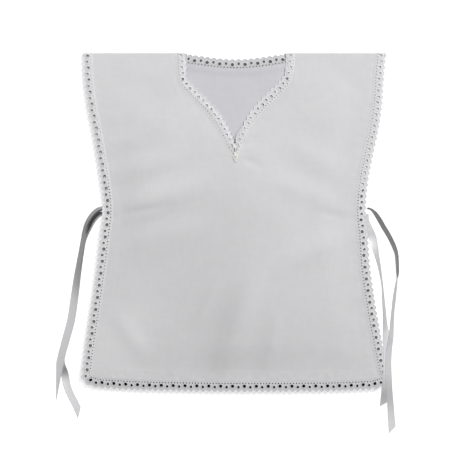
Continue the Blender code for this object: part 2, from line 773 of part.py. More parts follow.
def sample_ribbon(rows):
    fine = 30 * (len(rows) - 1)
    cut = [spline(rows, (len(rows) - 1) * i / fine) for i in range(fine + 1)]
    places = [Vector(item[:3]) for item in cut]
    runs = [0.0]
    for first, second in zip(places, places[1:]):
        runs.append(runs[-1] + (second - first).length)
    count = round(runs[-1] / RIBBON_STEP)
    frames = []
    for i in range(count + 1):
        run = runs[-1] * i / count
        index = min(max(bisect.bisect_right(runs, run) - 1, 0), fine - 1)
        share = (run - runs[index]) / (runs[index + 1] - runs[index])
        place = places[index].lerp(places[index + 1], share)
        roll = math.radians(cut[index][3] + (cut[index + 1][3] - cut[index][3]) * share)
        ahead = (places[index + 1] - places[index]).normalized()
        left = ahead.cross(Vector((0, 0, 1))).normalized()
        wide = left * math.cos(roll) + Vector((0, 0, 1)) * math.sin(roll)
        wide = (wide - ahead * wide.dot(ahead)).normalized()
        frames.append((place, ahead, wide, wide.cross(ahead).normalized(), run))
    return frames, runs[-1]


def under_rows(rows, first, last):
    """Middle points of a ribbon that lies face to face under part of another one."""
    found = []
    for index in range(first, last + 1):
        ahead = Vector(rows[min(index + 1, len(rows) - 1)][:3]) - Vector(rows[index - 1][:3])
        ahead.normalize()
        left = ahead.cross(Vector((0, 0, 1))).normalized()
        roll = math.radians(rows[index][3])
        wide = left * math.cos(roll) + Vector((0, 0, 1)) * math.sin(roll)
        place = Vector(rows[index][:3]) - wide.cross(ahead).normalized() * RIBBON_NEST
        found.append((place.x, place.y, place.z, rows[index][3]))
    return found


def make_ribbon(name, rows):
    frames, length = sample_ribbon(rows)
    cut = END_CUTS[name]
    half, thick = RIBBON_WIDTH / 2, WALL / 2
    builder = bmesh.new()
    loops = []
    for place, ahead, wide, face, run in frames:
        left = right = half
        rest = length - run
        if rest < abs(cut):
            short = BLUNTNESS * RIBBON_WIDTH * (1 - rest / abs(cut))
            left, right = (half - short, half) if cut > 0 else (half, half - short)
        loops.append([builder.verts.new(place + wide * w + face * t) for w, t in
                      ((left, thick), (-right, thick), (-right, -thick), (left, -thick))])
    for first, second in zip(loops, loops[1:]):
        for k in range(4):
            following = (k + 1) % 4
            builder.faces.new((first[k], first[following], second[following], second[k]))
    builder.faces.new(loops[0])
    builder.faces.new(loops[-1])
    bmesh.ops.triangulate(builder, faces=builder.faces)
    add_object(name, builder, "ribbon", smooth=40)


def make_ribbons():
    left_front = ribbon_frames(LEFT_FRONT_TIE)
    shared = under_rows(left_front, *LEFT_SHARED)
    left_back = ribbon_frames(LEFT_BACK_ROOT) + shared + ribbon_frames(LEFT_BACK_END)
    make_ribbon("ribbon_left_front", left_front)
    make_ribbon("ribbon_left_back", left_back)
    make_ribbon("ribbon_right_front", ribbon_frames(RIGHT_FRONT_TIE))
    make_ribbon("ribbon_right_back", ribbon_frames(RIGHT_BACK_TIE))


def main():
    clear_scene()
    make_back_panel()
    make_front_panel()
    make_lace()
    make_ribbons()


main()
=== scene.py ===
"""A child's baptismal smock, laid flat on a white table and seen from straight above.

Every object is in metres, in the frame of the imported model: +Y towards the shoulders, +Z up out
of the smock's front. Tables are in millimetres and repeat those that the solids are made from.
Each visible piece is a thin closed shell that lies where its solid lies.
"""

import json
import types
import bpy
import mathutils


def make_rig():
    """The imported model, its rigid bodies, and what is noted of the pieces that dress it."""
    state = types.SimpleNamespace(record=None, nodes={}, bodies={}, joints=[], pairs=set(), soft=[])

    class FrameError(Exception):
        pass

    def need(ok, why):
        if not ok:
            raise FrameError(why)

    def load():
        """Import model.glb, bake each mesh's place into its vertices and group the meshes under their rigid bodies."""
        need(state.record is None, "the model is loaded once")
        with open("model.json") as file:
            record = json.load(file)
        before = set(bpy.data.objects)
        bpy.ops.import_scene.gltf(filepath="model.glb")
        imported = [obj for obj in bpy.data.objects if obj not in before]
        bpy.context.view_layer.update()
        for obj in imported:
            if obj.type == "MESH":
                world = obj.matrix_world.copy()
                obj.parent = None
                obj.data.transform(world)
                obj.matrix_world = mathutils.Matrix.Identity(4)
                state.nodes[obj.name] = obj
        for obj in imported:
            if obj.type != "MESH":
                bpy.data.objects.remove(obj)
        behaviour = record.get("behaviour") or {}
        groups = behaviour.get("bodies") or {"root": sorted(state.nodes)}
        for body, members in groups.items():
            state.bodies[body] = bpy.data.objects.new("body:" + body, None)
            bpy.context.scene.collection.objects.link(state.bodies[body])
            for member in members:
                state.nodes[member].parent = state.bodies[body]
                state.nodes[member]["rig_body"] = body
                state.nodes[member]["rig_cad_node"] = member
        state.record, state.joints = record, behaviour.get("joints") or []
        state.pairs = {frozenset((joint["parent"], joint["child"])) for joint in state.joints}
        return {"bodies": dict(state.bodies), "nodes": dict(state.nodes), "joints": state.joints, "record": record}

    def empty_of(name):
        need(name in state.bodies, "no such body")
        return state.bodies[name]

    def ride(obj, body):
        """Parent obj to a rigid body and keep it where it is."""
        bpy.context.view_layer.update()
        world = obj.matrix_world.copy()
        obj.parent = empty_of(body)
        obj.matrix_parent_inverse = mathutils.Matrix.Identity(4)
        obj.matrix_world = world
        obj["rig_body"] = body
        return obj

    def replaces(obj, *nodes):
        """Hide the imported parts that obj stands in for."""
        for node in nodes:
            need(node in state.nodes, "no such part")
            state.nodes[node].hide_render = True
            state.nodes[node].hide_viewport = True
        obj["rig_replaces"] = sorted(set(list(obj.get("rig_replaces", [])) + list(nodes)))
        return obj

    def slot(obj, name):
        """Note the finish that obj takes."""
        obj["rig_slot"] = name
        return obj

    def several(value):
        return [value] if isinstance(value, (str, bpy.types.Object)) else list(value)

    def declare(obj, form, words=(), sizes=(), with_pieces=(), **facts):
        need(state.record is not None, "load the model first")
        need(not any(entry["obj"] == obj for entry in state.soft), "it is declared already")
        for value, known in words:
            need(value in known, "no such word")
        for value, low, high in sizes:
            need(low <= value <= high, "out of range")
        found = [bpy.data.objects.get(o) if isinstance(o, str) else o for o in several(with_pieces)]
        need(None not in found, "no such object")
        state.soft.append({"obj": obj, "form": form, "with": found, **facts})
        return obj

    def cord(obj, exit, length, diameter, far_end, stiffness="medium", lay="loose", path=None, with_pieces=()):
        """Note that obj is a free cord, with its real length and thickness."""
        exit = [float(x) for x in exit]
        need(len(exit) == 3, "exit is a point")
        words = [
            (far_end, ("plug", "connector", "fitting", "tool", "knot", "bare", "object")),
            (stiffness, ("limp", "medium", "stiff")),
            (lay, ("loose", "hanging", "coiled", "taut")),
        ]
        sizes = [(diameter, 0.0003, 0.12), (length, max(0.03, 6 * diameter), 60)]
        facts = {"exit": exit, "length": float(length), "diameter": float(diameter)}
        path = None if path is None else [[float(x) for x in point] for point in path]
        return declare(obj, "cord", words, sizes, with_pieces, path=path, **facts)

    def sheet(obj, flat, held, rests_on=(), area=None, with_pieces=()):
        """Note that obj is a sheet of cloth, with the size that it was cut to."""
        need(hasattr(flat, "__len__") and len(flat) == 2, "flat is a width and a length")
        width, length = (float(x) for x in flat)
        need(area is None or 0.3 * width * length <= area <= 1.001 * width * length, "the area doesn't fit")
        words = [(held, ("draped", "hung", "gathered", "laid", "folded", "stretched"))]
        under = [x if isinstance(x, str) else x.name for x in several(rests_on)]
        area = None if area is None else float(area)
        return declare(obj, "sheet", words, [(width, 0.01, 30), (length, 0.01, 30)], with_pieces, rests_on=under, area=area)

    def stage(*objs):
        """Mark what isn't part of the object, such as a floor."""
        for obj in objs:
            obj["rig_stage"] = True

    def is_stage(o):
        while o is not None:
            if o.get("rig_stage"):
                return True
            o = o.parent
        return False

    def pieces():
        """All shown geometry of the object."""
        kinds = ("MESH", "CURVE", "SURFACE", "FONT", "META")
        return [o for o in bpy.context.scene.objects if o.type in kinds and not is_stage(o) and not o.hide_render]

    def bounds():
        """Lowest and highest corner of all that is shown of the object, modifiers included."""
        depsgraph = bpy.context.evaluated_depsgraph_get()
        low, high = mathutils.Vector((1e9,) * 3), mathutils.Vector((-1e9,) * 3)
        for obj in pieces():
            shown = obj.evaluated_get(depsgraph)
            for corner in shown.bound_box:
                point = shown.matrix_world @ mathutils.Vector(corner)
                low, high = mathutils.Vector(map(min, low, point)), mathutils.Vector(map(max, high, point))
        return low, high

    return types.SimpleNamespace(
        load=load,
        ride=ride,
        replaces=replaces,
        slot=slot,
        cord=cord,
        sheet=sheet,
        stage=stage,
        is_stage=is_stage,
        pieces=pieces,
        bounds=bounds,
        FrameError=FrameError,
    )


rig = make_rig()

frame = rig.load()

import json
import math
from collections import namedtuple

import bpy
import numpy as np
from mathutils import Vector
from mathutils.geometry import delaunay_2d_cdt

cad_low, cad_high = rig.bounds()

MM = 0.001
SCENE = bpy.context.scene

# Sizes shared with the solids
LENGTH = 400.0  # shoulder fold to the tips of the hem lace
SHOULDER_Y = 199.2
WALL = 1.0  # of the solids
FRONT_REST = 1.8  # middle of the front panel, where it lies on the back
FOLD_RADIUS = 1.3  # of its roll over the shoulder
ROLL_START = SHOULDER_Y - FOLD_RADIUS
QUARTER_ROLL = FOLD_RADIUS * math.pi / 2
BACK_TOP = SHOULDER_Y - WALL / 2 - 0.3
LACE_WIDTH = 13.3
REPEAT = 14.2  # of the lace
TOOTH_DEPTH = 2.2
RIBBON_WIDTH = 9.0
RIBBON_NEST = 1.8  # from the left front ribbon to the back one beneath
SHORT = 0.15  # by which a lace strip ends before its mitre
MITRE_ACROSS = 10.4  # from a seam's corner to its mitre's tip
MITRE_DOWN = 7.6
BLUNTNESS = 0.96  # of a ribbon's slanting free end

# Sizes of the cloth itself
CLOTH = 0.44  # thickness
LACE = 0.5
RIBBON = 0.36
LAP = 1.8  # of lace and cloth where they are sewn
NECK_LAP = 2.16  # at the neck
NECK_PART = 3.96  # from the V's point up to where the cloth parts
HALF_SLIT = 0.15  # half the opening there
LACE_LIFT = 0.5  # middle of the lace above the middle of the front cloth
LACE_DROOP = 0.7  # of its teeth, towards the back
DROOP_EARLY = 0.1  # begins this share of the width inside the cloth's edge
DROOP_END = 0.85  # and ends at this share from the sewn edge
DROOP_SHORTEST = 0.3
HEADER = 5.0  # over which the lace thins at its sewn edge
HEADER_DROP = 0.425  # by so much
BACK_CLOTH = 0.27  # middle of the back cloth above the table
BACK_LAP = 0.8  # the same where it lies over its lace
BACK_LACE = 0.28
UPPER_LIFT = 0.5  # of the back's upper half off the table
OPENING_LIFT = 0.4  # further, in the neck opening
NECK_LIFT = 1.2  # of the back neckline off the table
FULL_BACKING = 8.8  # how much further the front cloth runs beneath some lace
SEAM_BACKING = 2.4  # the same, beneath the small holes at the seam alone
NECK_REACH = 90.0  # neck lace nearer the middle, side lace beyond
POINT_LIFT = 0.85  # of the back, further, below the point of the V
POINT_LAP = 0.9  # of the left neck lace over the right one there
POINT_TUCK = 0.27  # of the right one beneath the left
POINT_RAISE = 0.55  # how far the left one rises there
SLIT_REACH = 5.0  # from the middle, over which they do
PUCKER = 0.05  # height of the puckers along the seams
UNEVEN = 0.18  # of the slow waves in the open front
BACK_UNEVEN = 0.12
HEM_SHOWS = 0.5  # of the back's hem seam through the front
SIDE_SHOWS = 0.2
# Painted light on the front's lower left corner
CORNER_PAINTED_LIGHT = 0.9  # the paler lower left corner
SEAM_BLUR = 1.2

# Fineness of the meshes
FRONT_COLUMNS = 62  # in each half
ROW_STEP = 2.6
NECK_ROW_STEP = 2.0
ROLL_ROW_STEP = 0.35
ROLL_TAIL = 0.4  # last row, past the roll
HEM_FADE = 6  # how fast rows straighten above the curved hem
BACK_COLUMNS = 110
BACK_HEIGHTS = np.concatenate((np.linspace(0, 0.86, 60), np.linspace(0.86, 1, 24)[1:]))
BACK_NECK_PARTS = 30
LACE_PARTS = 40  # between two cross sections
RIBBON_PARTS = 30
RIBBON_STEP = 1.6
SHARP_ANGLE = math.radians(60)

Hole = namedtuple("Hole", "along across wide deep sides rim")
Lamp = namedtuple("Lamp", "turn rise share size distance")

# Tips of the front panel's side lace: down from the shoulder fold, left, right
FRONT_SIDES = [
    (0.0, -181.0, 178.2), (32.0, -180.0, 175.4), (67.0, -175.4, 172.9), (103.0, -168.2, 167.0),
    (138.0, -162.8, 159.2), (179.0, -157.0, 154.2), (209.0, -159.6, 156.2),
    (244.0, -163.6, 158.4), (291.0, -169.9, 164.6), (339.0, -177.2, 173.2),
    (384.0, -182.9, 182.9),
]
# Tips of the front panel's hem lace: across, down
FRONT_HEM = [
    (-182.9, 389.0), (-168.0, 394.0), (-148.0, 396.4), (-100.0, 398.6), (0.0, LENGTH),
    (100.0, 399.6), (152.0, 398.2), (168.0, 396.0), (182.9, 392.0),
]
# How far the back panel's lace lies inside the front panel's: down, left, right
BACK_INSET = [
    (0.0, 1.2, 1.2), (100.0, 4.0, 4.0), (179.0, 7.0, 7.0), (270.0, 10.5, 10.5),
    (384.0, 17.0, 17.5),
]
BACK_SHORTER = 11.5  # at the hem

# Cross sections of the lace round the V neck, from the shoulder fold to the point of the V:
# x and y of its tips, x and y of its sewn edge
NECK_LEFT = [
    (-58.6, 199.2, -70.2, 199.2), (-57.6, 186.0, -70.2, 186.0), (-56.9, 172.6, -69.3, 172.0),
    (-55.4, 168.0, -66.2, 161.4), (-50.5, 162.9, -59.8, 153.4), (-39.5, 151.9, -49.0, 142.5),
    (-27.7, 140.1, -37.2, 130.1), (-17.1, 126.3, -27.7, 117.7), (-8.3, 111.2, -19.5, 104.7),
    (-3.5, 100.6, -11.2, 89.4), (-0.2, 90.0, -0.2, 69.0),
]
NECK_RIGHT = [
    (58.6, 199.2, 70.2, 199.2), (59.9, 186.1, 70.0, 184.0), (58.4, 177.3, 68.6, 175.5),
    (54.3, 169.0, 65.4, 164.9), (47.8, 162.5, 58.0, 154.3), (36.0, 151.3, 45.6, 141.9),
    (25.4, 140.7, 35.4, 131.9), (16.2, 128.9, 26.6, 121.2), (10.0, 118.3, 19.6, 113.0),
    (6.1, 108.7, 13.0, 103.6), (3.0, 100.0, 7.7, 91.0), (0.2, 90.0, 0.2, 69.0),
]
# The same round the back neckline, from the left shoulder to the middle
BACK_NECK = [
    (-57.6, 198.2, -69.6, 197.6), (-56.2, 197.6, -65.9, 188.2), (-52.4, 197.2, -57.2, 184.9),
    (-41.5, 195.8, -44.4, 182.6), (-20.6, 193.0, -22.0, 179.8), (0.0, 191.8, 0.0, 178.5),
]

# Folds of the front panel: three points of a line, its reach, and + for a ridge, - for a trough
FRONT_FOLDS = [
    (24, 144, 29, -31, 34, -206, 92, 5.6), (-174, 2, -101, 24, -5, 56, 23, 3.0),
    (-163, 3, -122, 11, -70, 23, 6, -0.85), (-162, -42, -94, -17, 0, -3, 21, 1.1),
    (-168, 46, -115, 62, -42, 88, 19, 2.0), (-162, 90, -140, 92, -106, 104, 14, 1.5),
    (-165, 121, -150, 121, -126, 125, 10, 1.0), (-177, 171, -121, 162, -66, 155, 22, -1.0),
    (-139, 112, -96, 109, -53, 110, 30, 1.2), (-165, -88, -127, -131, -92, -180, 14, 0.9),
    (-114, -30, -104, -76, -100, -128, 40, -0.7), (36, -34, -4, -142, -28, -204, 22, 3.2),
    (-17, -54, -33, -95, -56, -136, 10, 0.7), (52, -88, 42, -148, 25, -204, 12, 0.8),
    (159, -3, 92, 31, 6, 57, 18, 1.0), (163, -2, 128, 5, 88, 15, 6, -0.75),
    (157, 45, 99, 71, 53, 105, 20, 1.1), (158, -13, 95, -33, 28, -74, 20, 1.6),
    (165, 183, 140, 171, 123, 147, 16, -0.8), (72, 146, 102, 124, 136, 110, 36, 0.9),
    (165, -86, 142, -101, 121, -113, 10, -0.7), (176, -134, 160, -149, 143, -167, 14, 1.3),
    (1, 89, 14, 93, 34, 105, 6, -0.6), (2, 75, 19, 70, 38, 60, 6, -0.5),
    (-66, 175, -34, 139, -2, 84, 22, -1.1), (68, 175, 33, 139, 2, 84, 22, -1.3),
]
BILLOW = 1.0  # of the open cloth above its edges
BILLOW_REACH = 45.0  # from the edges, over which it rises
EDGE_SHARE = 0.3  # of a fold's height that is left at the edges
FOLD_STEEPNESS = 1.6
FOLD_TAPER = 0.4  # share of a fold's length at each end
SOFTNESS = 0.35  # rounding where the cloth comes to rest
SHOULDER_REACH = 16.0  # from the shoulder, over which the folds begin
FOLD_PARTS = 6
CURVE_PARTS = 60

# Ribbon ties, from the side lace to their free ends: x, y, roll in degrees, lift
LEFT_FRONT_TIE = [
    (-156.7, 15.6, -58, 0.5), (-162.5, 13.4, -46, 0.5), (-168.9, 7.2, -42, 0.5),
    (-173.9, -0.7, -44, 0.6), (-177.0, -9.1, -48, 0.8), (-179.2, -20.0, -50, 1.27),
    (-182.2, -36.0, -52, 1.22), (-184.4, -49.5, -46, 1.36), (-186.9, -66.4, -34, 1.6),
    (-188.8, -81.7, -20, 1.8), (-190.2, -92.3, -12, 1.9), (-193.8, -115.9, -8, 1.9),
    (-200.1, -139.5, -8, 1.9), (-206.0, -163.1, -8, 1.9), (-211.0, -186.7, -6, 1.3),
    (-215.8, -210.3, -4, 0.4),
]
LEFT_BACK_ROOT = [
    (-156.9, 9.8, -56, 0.1), (-161.5, 7.6, -46, 0.1), (-166.4, 2.6, -44, 0.1),
    (-170.6, -4.6, -48, 0.1),
]
LEFT_BACK_END = [
    (-201.4, -180.0, 6, 0.05), (-198.6, -193.0, 28, 0.05), (-194.6, -203.0, 34, 0.05),
    (-189.8, -212.5, 34, 0.05), (-184.8, -223.0, 32, 0.05), (-182.2, -229.5, 30, 0.05),
]
LEFT_SHARED = (5, 13)  # first and last row that both left ties share
RIGHT_FRONT_TIE = [
    (154.5, 15.6, 98, 0.5), (159.4, 13.9, 102, 0.5), (163.6, 10.6, 113, 0.5),
    (169.0, 3.0, 122, 0.5), (173.9, -5.7, 123, 0.5), (179.0, -14.1, 122, 0.5),
    (183.6, -22.7, 121, 0.5), (187.1, -31.0, 118, 0.5), (189.3, -39.2, 112, 0.5),
    (190.2, -54.0, 108, 0.5), (190.1, -61.0, 104, 0.5), (189.5, -68.5, 76, 0.5),
    (188.6, -76.0, 66, 0.5), (186.8, -90.0, 59, 0.6), (185.2, -104.0, 60, 0.8),
    (184.2, -116.0, 56, 1.4), (183.4, -127.0, 50, 3.0), (182.3, -136.0, 42, 4.7),
    (180.6, -148.0, 35, 4.5), (179.5, -165.0, 33, 4.4), (180.0, -184.3, 33, 4.3),
    (181.0, -202.0, 32, 4.1), (182.4, -218.0, 27, 2.6), (183.8, -235.0, 20, 0.8),
    (185.0, -248.6, 12, 0.1),
]
RIGHT_BACK_TIE = [
    (152.5, 9.0, 0, 0.05), (153.4, 0.5, 0, 0.05), (157.2, -8.5, -3, 0.05),
    (160.9, -16.8, -5, 0.05), (163.2, -25.0, 16, 0.1), (165.9, -38.0, 44, 0.2),
    (169.0, -52.0, 60, 0.2), (172.2, -73.1, 72, 0.2), (173.7, -90.0, 66, 0.2),
    (174.9, -104.0, 60, 0.3), (175.7, -116.0, 54, 0.4), (176.3, -124.0, 44, 0.9),
    (177.0, -131.0, 24, 2.0), (177.6, -139.0, 6, 2.7), (178.4, -152.0, 2, 2.8),
    (178.2, -170.0, 2, 2.8), (177.2, -188.0, 2, 2.8), (175.8, -203.0, 3, 2.7),
    (174.4, -218.0, 6, 0.8),
]

# Holes in one repeat of the lace, from a notch on; across runs from the tips to the sewn edge
LACE_HOLES = [Hole(share * REPEAT, *row) for share, *row in (
    (0.25, 6.9, 1.95, 1.95, 20, 0.30), (0.75, 5.7, 1.45, 1.70, 16, 0.26),
    (0.12, 10.2, 0.78, 0.78, 8, 0.12), (0.37, 10.2, 0.70, 0.70, 8, 0.10),
    (0.62, 10.2, 0.78, 0.78, 8, 0.12), (0.87, 10.2, 0.70, 0.70, 8, 0.10),
)]
RIM_WIDTH = 0.95  # of the stitching round an eyelet
RIM_CREST = 0.32  # from a hole or the teeth to its top
RIM_SPREAD = 0.42
EDGE_RIM = 0.24  # height of the stitched edge of the teeth
EDGE_SPREAD = 0.4
TOOTH_POINTS = 29  # along the teeth of one repeat
SEAM_POINTS = 9  # along its sewn edge
CELL_SIDE = [4.2, 6.0, 7.8, 9.2, 10.4, 11.6, 12.6]
EDGE_INSETS = (0.35, 0.75)
SEAM_INSET = 1.1
EYELET_RINGS = (0.0, 0.3, RIM_WIDTH)
PINHOLE_RINGS = (0.0, 0.35)
SEAM_LINE = 12.4  # of the topstitching, from the tips
SEAM_WIDTH = 0.6
STITCH = 2.2

# Cross sections of the lace near a lower corner, measured from the corner of the seam
CORNER_GUESS_Y = -180.0  # where the search for it begins
SIDE_PARTS = 12
HEM_PARTS = 8
SIDE_END = 10.0  # last even section of a side strip, above it
SIDE_TIP_EASE = 1.5
TIP_EASE = 3.5
SEWN_EASE = 4.0
HEM_START = 11.0  # first of a hem strip, beside it

# A ribbon's section: places across its half width, and their thickness
RIBBON_SPOTS = np.array([-1.0, -0.93, -0.84, -0.5, 0.0, 0.5, 0.84, 0.93, 1.0])
RIBBON_BEAD = np.array([0.5, 1.0, 0.62, 0.55, 0.5, 0.55, 0.62, 1.0, 0.5])
SELVEDGE = 4.05  # from the middle
CURL = 1.5  # of a ribbon across its width, where it stands on edge
CURL_TURN = 16.0  # degrees from upright over which it flattens
CURL_REST = 0.4
NARROWEST = 0.26  # its middle line ends where it is this narrow

# Camera over the middle of the photograph's frame
VIEW_WIDTH = 540.4  # of the table, across the picture
VIEW_X, VIEW_Y = -7.7, -8.6
CAMERA_HEIGHT = 1.6  # metres
SENSOR = 36.0

# Soft lamps, each with its share of the light at the smock; distances in metres
LAMPS = [Lamp(52, 33, 0.62, 1.7, 3.2), Lamp(142, 35, 0.19, 0.7, 1.5),
         Lamp(322, 35, 0.19, 2.0, 4.0)]
LAMP_WATTS = 21.6  # of all the lamps together, at one metre
WORLD_LIGHT = 0.07
FLOOR_SHINE = 0.58  # of the table's own, which keeps its shadows faint
TABLE_HALF = 3000.0
TABLE_Z = -0.4
# Strips of painted shade on the table, beneath the lace
STRIP_Z = -0.38  # of its strips beneath the lace
STRIP_SHARES = (0.24, 0.34, 0.84, 0.94)
STRIP_PARTS = 90

# Colours: red, green and blue
WHITE = (1.0, 1.0, 1.0)
FRONT_WEAVE = (0.536, 0.5345, 0.543)
FRONT_WEAVE_SHADE = (0.491, 0.4895, 0.50)
# Painted shade: the back is the same cloth as the front, painted darker and a little bluer
BACK_WEAVE_SHADED = (0.485, 0.485, 0.51)
BACK_WEAVE_SHADED_DARKER = (0.445, 0.445, 0.47)
LACE_GROUND = (0.48, 0.48, 0.495), (0.575, 0.575, 0.585)
LACE_RIM = (0.61, 0.61, 0.615)
LACE_CREAM = (0.62, 0.625, 0.585)
LACE_STITCH = (0.63, 0.63, 0.61)
# Painted shade on the lace that lies over the bare table, at the hem and the back neck
LACE_PAINTED_SHADE = (0.36, 0.36, 0.37)
SATIN = (0.53, 0.53, 0.545), (0.59, 0.59, 0.60)
SATIN_SELVEDGE = (0.36, 0.365, 0.36)
# Painted shade on the satin where a ribbon stands on edge
SATIN_EDGE_ON_SHADE = (0.15, 0.15, 0.152)
# Painted shadow on the satin, at the left ribbons' root and lower down
SATIN_PAINTED_SHADOW = (0.012, 0.012, 0.013)
TABLE_TOP = (0.47, 0.47, 0.47), (0.49, 0.49, 0.49)
# Painted shade of the table's strips beneath the open lace
TABLE_SHADE_UNDER_LACE = (0.03, 0.03, 0.034)


# Curves through short tables

def curve(rows, count):
    """Catmull-Rom curve through rows of numbers, as count rows with even steps."""
    rows = np.asarray(rows, float)
    places = np.linspace(0, len(rows) - 1, count)
    index = np.minimum(places.astype(int), len(rows) - 2)
    t = (places - index)[:, None]
    a, b = rows[np.maximum(index - 1, 0)], rows[index]
    c, d = rows[index + 1], rows[np.minimum(index + 2, len(rows) - 1)]
    return 0.5 * (2 * b + (c - a) * t + (2 * a - 5 * b + 4 * c - d) * t ** 2
                  + (3 * b - a - 3 * c + d) * t ** 3)


def by_column(rows, column, at):
    """Smooth values of a table's column where its first column equals at."""
    table = np.asarray(rows, float)
    keys, values = table[:, 0], table[:, column]
    last = len(keys) - 1
    steps = np.arange(last + 1)
    before, after = np.maximum(steps - 1, 0), np.minimum(steps + 1, last)
    slopes = (values[after] - values[before]) / (keys[after] - keys[before])
    at = np.clip(np.asarray(at, float), keys[0], keys[-1])
    index = np.clip(np.searchsorted(keys, at, side="right") - 1, 0, last - 1)
    width = keys[index + 1] - keys[index]
    t = (at - keys[index]) / width
    bend = width * t * (1 - t) * (slopes[index] * (1 - t) - slopes[index + 1] * t)
    return values[index] + (values[index + 1] - values[index]) * t * t * (3 - 2 * t) + bend


def rise(value, start, end):
    """Smooth share of the way from start to end, from 0 to 1."""
    share = np.clip((value - start) / (end - start), 0.0, 1.0)
    return share * share * (3 - 2 * share)


def bell(value, middle, reach):
    """Share that is 1 at the middle and fades with the distance from it."""
    return np.exp(-((value - middle) / reach) ** 2)


def lengths(points):
    """Length of a line of points up to each of them."""
    return np.concatenate(([0.0], np.cumsum(np.linalg.norm(np.diff(points, axis=0), axis=1))))


# Outline of the panels, with side = -1 for the left and 1 for the right

def front_tip(side, y):
    return by_column(FRONT_SIDES, 1 if side < 0 else 2, SHOULDER_Y - y)


def back_tip(side, y):
    inset = by_column(BACK_INSET, 1 if side < 0 else 2, SHOULDER_Y - y)
    return front_tip(side, y) - side * inset


def front_hem_tip(x):
    return SHOULDER_Y - by_column(FRONT_HEM, 1, x)


def back_hem_tip(x):
    return front_hem_tip(x) + BACK_SHORTER


def sewn_x(tip, side, y):
    slope = (tip(side, y + 1.0) - tip(side, y - 1.0)) / 2
    return tip(side, y) - side * LACE_WIDTH * np.hypot(1.0, slope)


def sewn_y(hem_tip, x):
    return hem_tip(x) + LACE_WIDTH


def sewn_corner(tip, hem_tip, side):
    """Where the side seam meets the hem seam, found by going from one to the other."""
    x = tip(side, CORNER_GUESS_Y)
    for _ in range(6):
        y = sewn_y(hem_tip, x)
        x = sewn_x(tip, side, y)
    return Vector((x, y))


def neck_curve(bands):
    """The sewn edge of one side of the V neck, as rows of x and rising y."""
    found = curve(bands, CURVE_PARTS + 1)[:, 2:]
    return found[np.argsort(found[:, 1])]


NECK_EDGES = {-1: neck_curve(NECK_LEFT), 1: neck_curve(NECK_RIGHT)}
NECK_PART_Y = NECK_EDGES[1][0][1] + NECK_PART


# Lie of the front panel

def fold_line(line):
    """A fold's line, which bends smoothly through its middle point."""
    start, middle, end = np.array(line).reshape(3, 2)
    bend = 2 * middle - (start + end) / 2
    t = np.linspace(0, 1, FOLD_PARTS + 1)[:, None]
    return (1 - t) ** 2 * start + 2 * t * (1 - t) * bend + t * t * end


def near_line(x, y, points):
    """Distance from each place to a line of points, and the share of the line before it."""
    best = np.full(np.shape(x), np.inf)
    along = np.zeros(np.shape(x))
    for i in range(len(points) - 1):
        (ax, ay), (bx, by) = points[i], points[i + 1]
        dx, dy = bx - ax, by - ay
        share = np.clip(((x - ax) * dx + (y - ay) * dy) / (dx * dx + dy * dy), 0, 1)
        apart = np.hypot(x - ax - dx * share, y - ay - dy * share)
        nearer = apart < best
        best = np.where(nearer, apart, best)
        along = np.where(nearer, (i + share) / (len(points) - 1), along)
    return best, along


def edge_distance(x, y):
    """How far a place on the front lies inside its sides, hem and shoulder fold."""
    return np.minimum.reduce((x - sewn_x(front_tip, -1, y), sewn_x(front_tip, 1, y) - x,
                              y - sewn_y(front_hem_tip, x), ROLL_START - y))


def front_height(x, y):
    """Middle of the front cloth above the table."""
    x, y = np.asarray(x, float), np.asarray(y, float)
    inside = rise(edge_distance(x, y), 0.0, BILLOW_REACH)
    lift = BILLOW * inside
    for *line, reach, height in FRONT_FOLDS:
        apart, along = near_line(x, y, fold_line(line))
        across = np.exp(-FOLD_STEEPNESS * (apart / reach) ** 2)
        ends = rise(np.minimum(along, 1 - along), 0.0, FOLD_TAPER)
        lift = lift + height * across * ends * (EDGE_SHARE + (1 - EDGE_SHARE) * inside)
    lift = (lift + np.hypot(lift, SOFTNESS) - SOFTNESS) / 2
    shoulder = rise(y, ROLL_START, ROLL_START - SHOULDER_REACH)
    return FRONT_REST + np.maximum(lift, 0.0) * shoulder


def front_points(x, y, offset):
    """Points of the front cloth; past the fold line it runs down over the shoulder."""
    run = np.maximum(y - ROLL_START, 0.0)
    turn = np.minimum(run, QUARTER_ROLL) / FOLD_RADIUS
    radius = FOLD_RADIUS + offset
    drop = np.maximum(run - QUARTER_ROLL, 0.0)
    flat = y <= ROLL_START
    height = front_height(x, np.minimum(y, ROLL_START))
    return np.column_stack((x, np.where(flat, y, ROLL_START + radius * np.sin(turn)),
                            np.where(flat, height + offset,
                                     FRONT_REST - FOLD_RADIUS + radius * np.cos(turn) - drop)))


def backing(x, y):
    """How much further the front cloth runs beneath the lace of the neck and the upper sides."""
    share = np.maximum(rise(y, 141.0, 127.0), rise(y, 166.0, 178.0))
    neck = SEAM_BACKING + (FULL_BACKING - SEAM_BACKING) * share
    side = np.where(x < 0, SEAM_BACKING, FULL_BACKING) * rise(y, 30.0, 50.0)
    return np.where(np.abs(x) < NECK_REACH, neck, side)


def front_lace_points(x, y, offset, out):
    """Points of the lace on the front; out runs from 0 at the sewn edge to 1 at the teeth."""
    begin = (LAP + backing(x, y)) / LACE_WIDTH - DROOP_EARLY
    droop = LACE_DROOP * rise(out, begin, np.maximum(begin + DROOP_SHORTEST, DROOP_END))
    points = front_points(x, y, offset + LACE_LIFT)
    points[:, 2] -= droop * rise(y, -4.0, 20.0) * rise(y, ROLL_START, ROLL_START - 6.0)
    return points


def point_share(x, y):
    """How near a place is to the slit above the point of the V, from 0 to 1."""
    return rise(y, 101.0, 92.0) * np.clip(1.0 - np.abs(x) / SLIT_REACH, 0.0, 1.0)


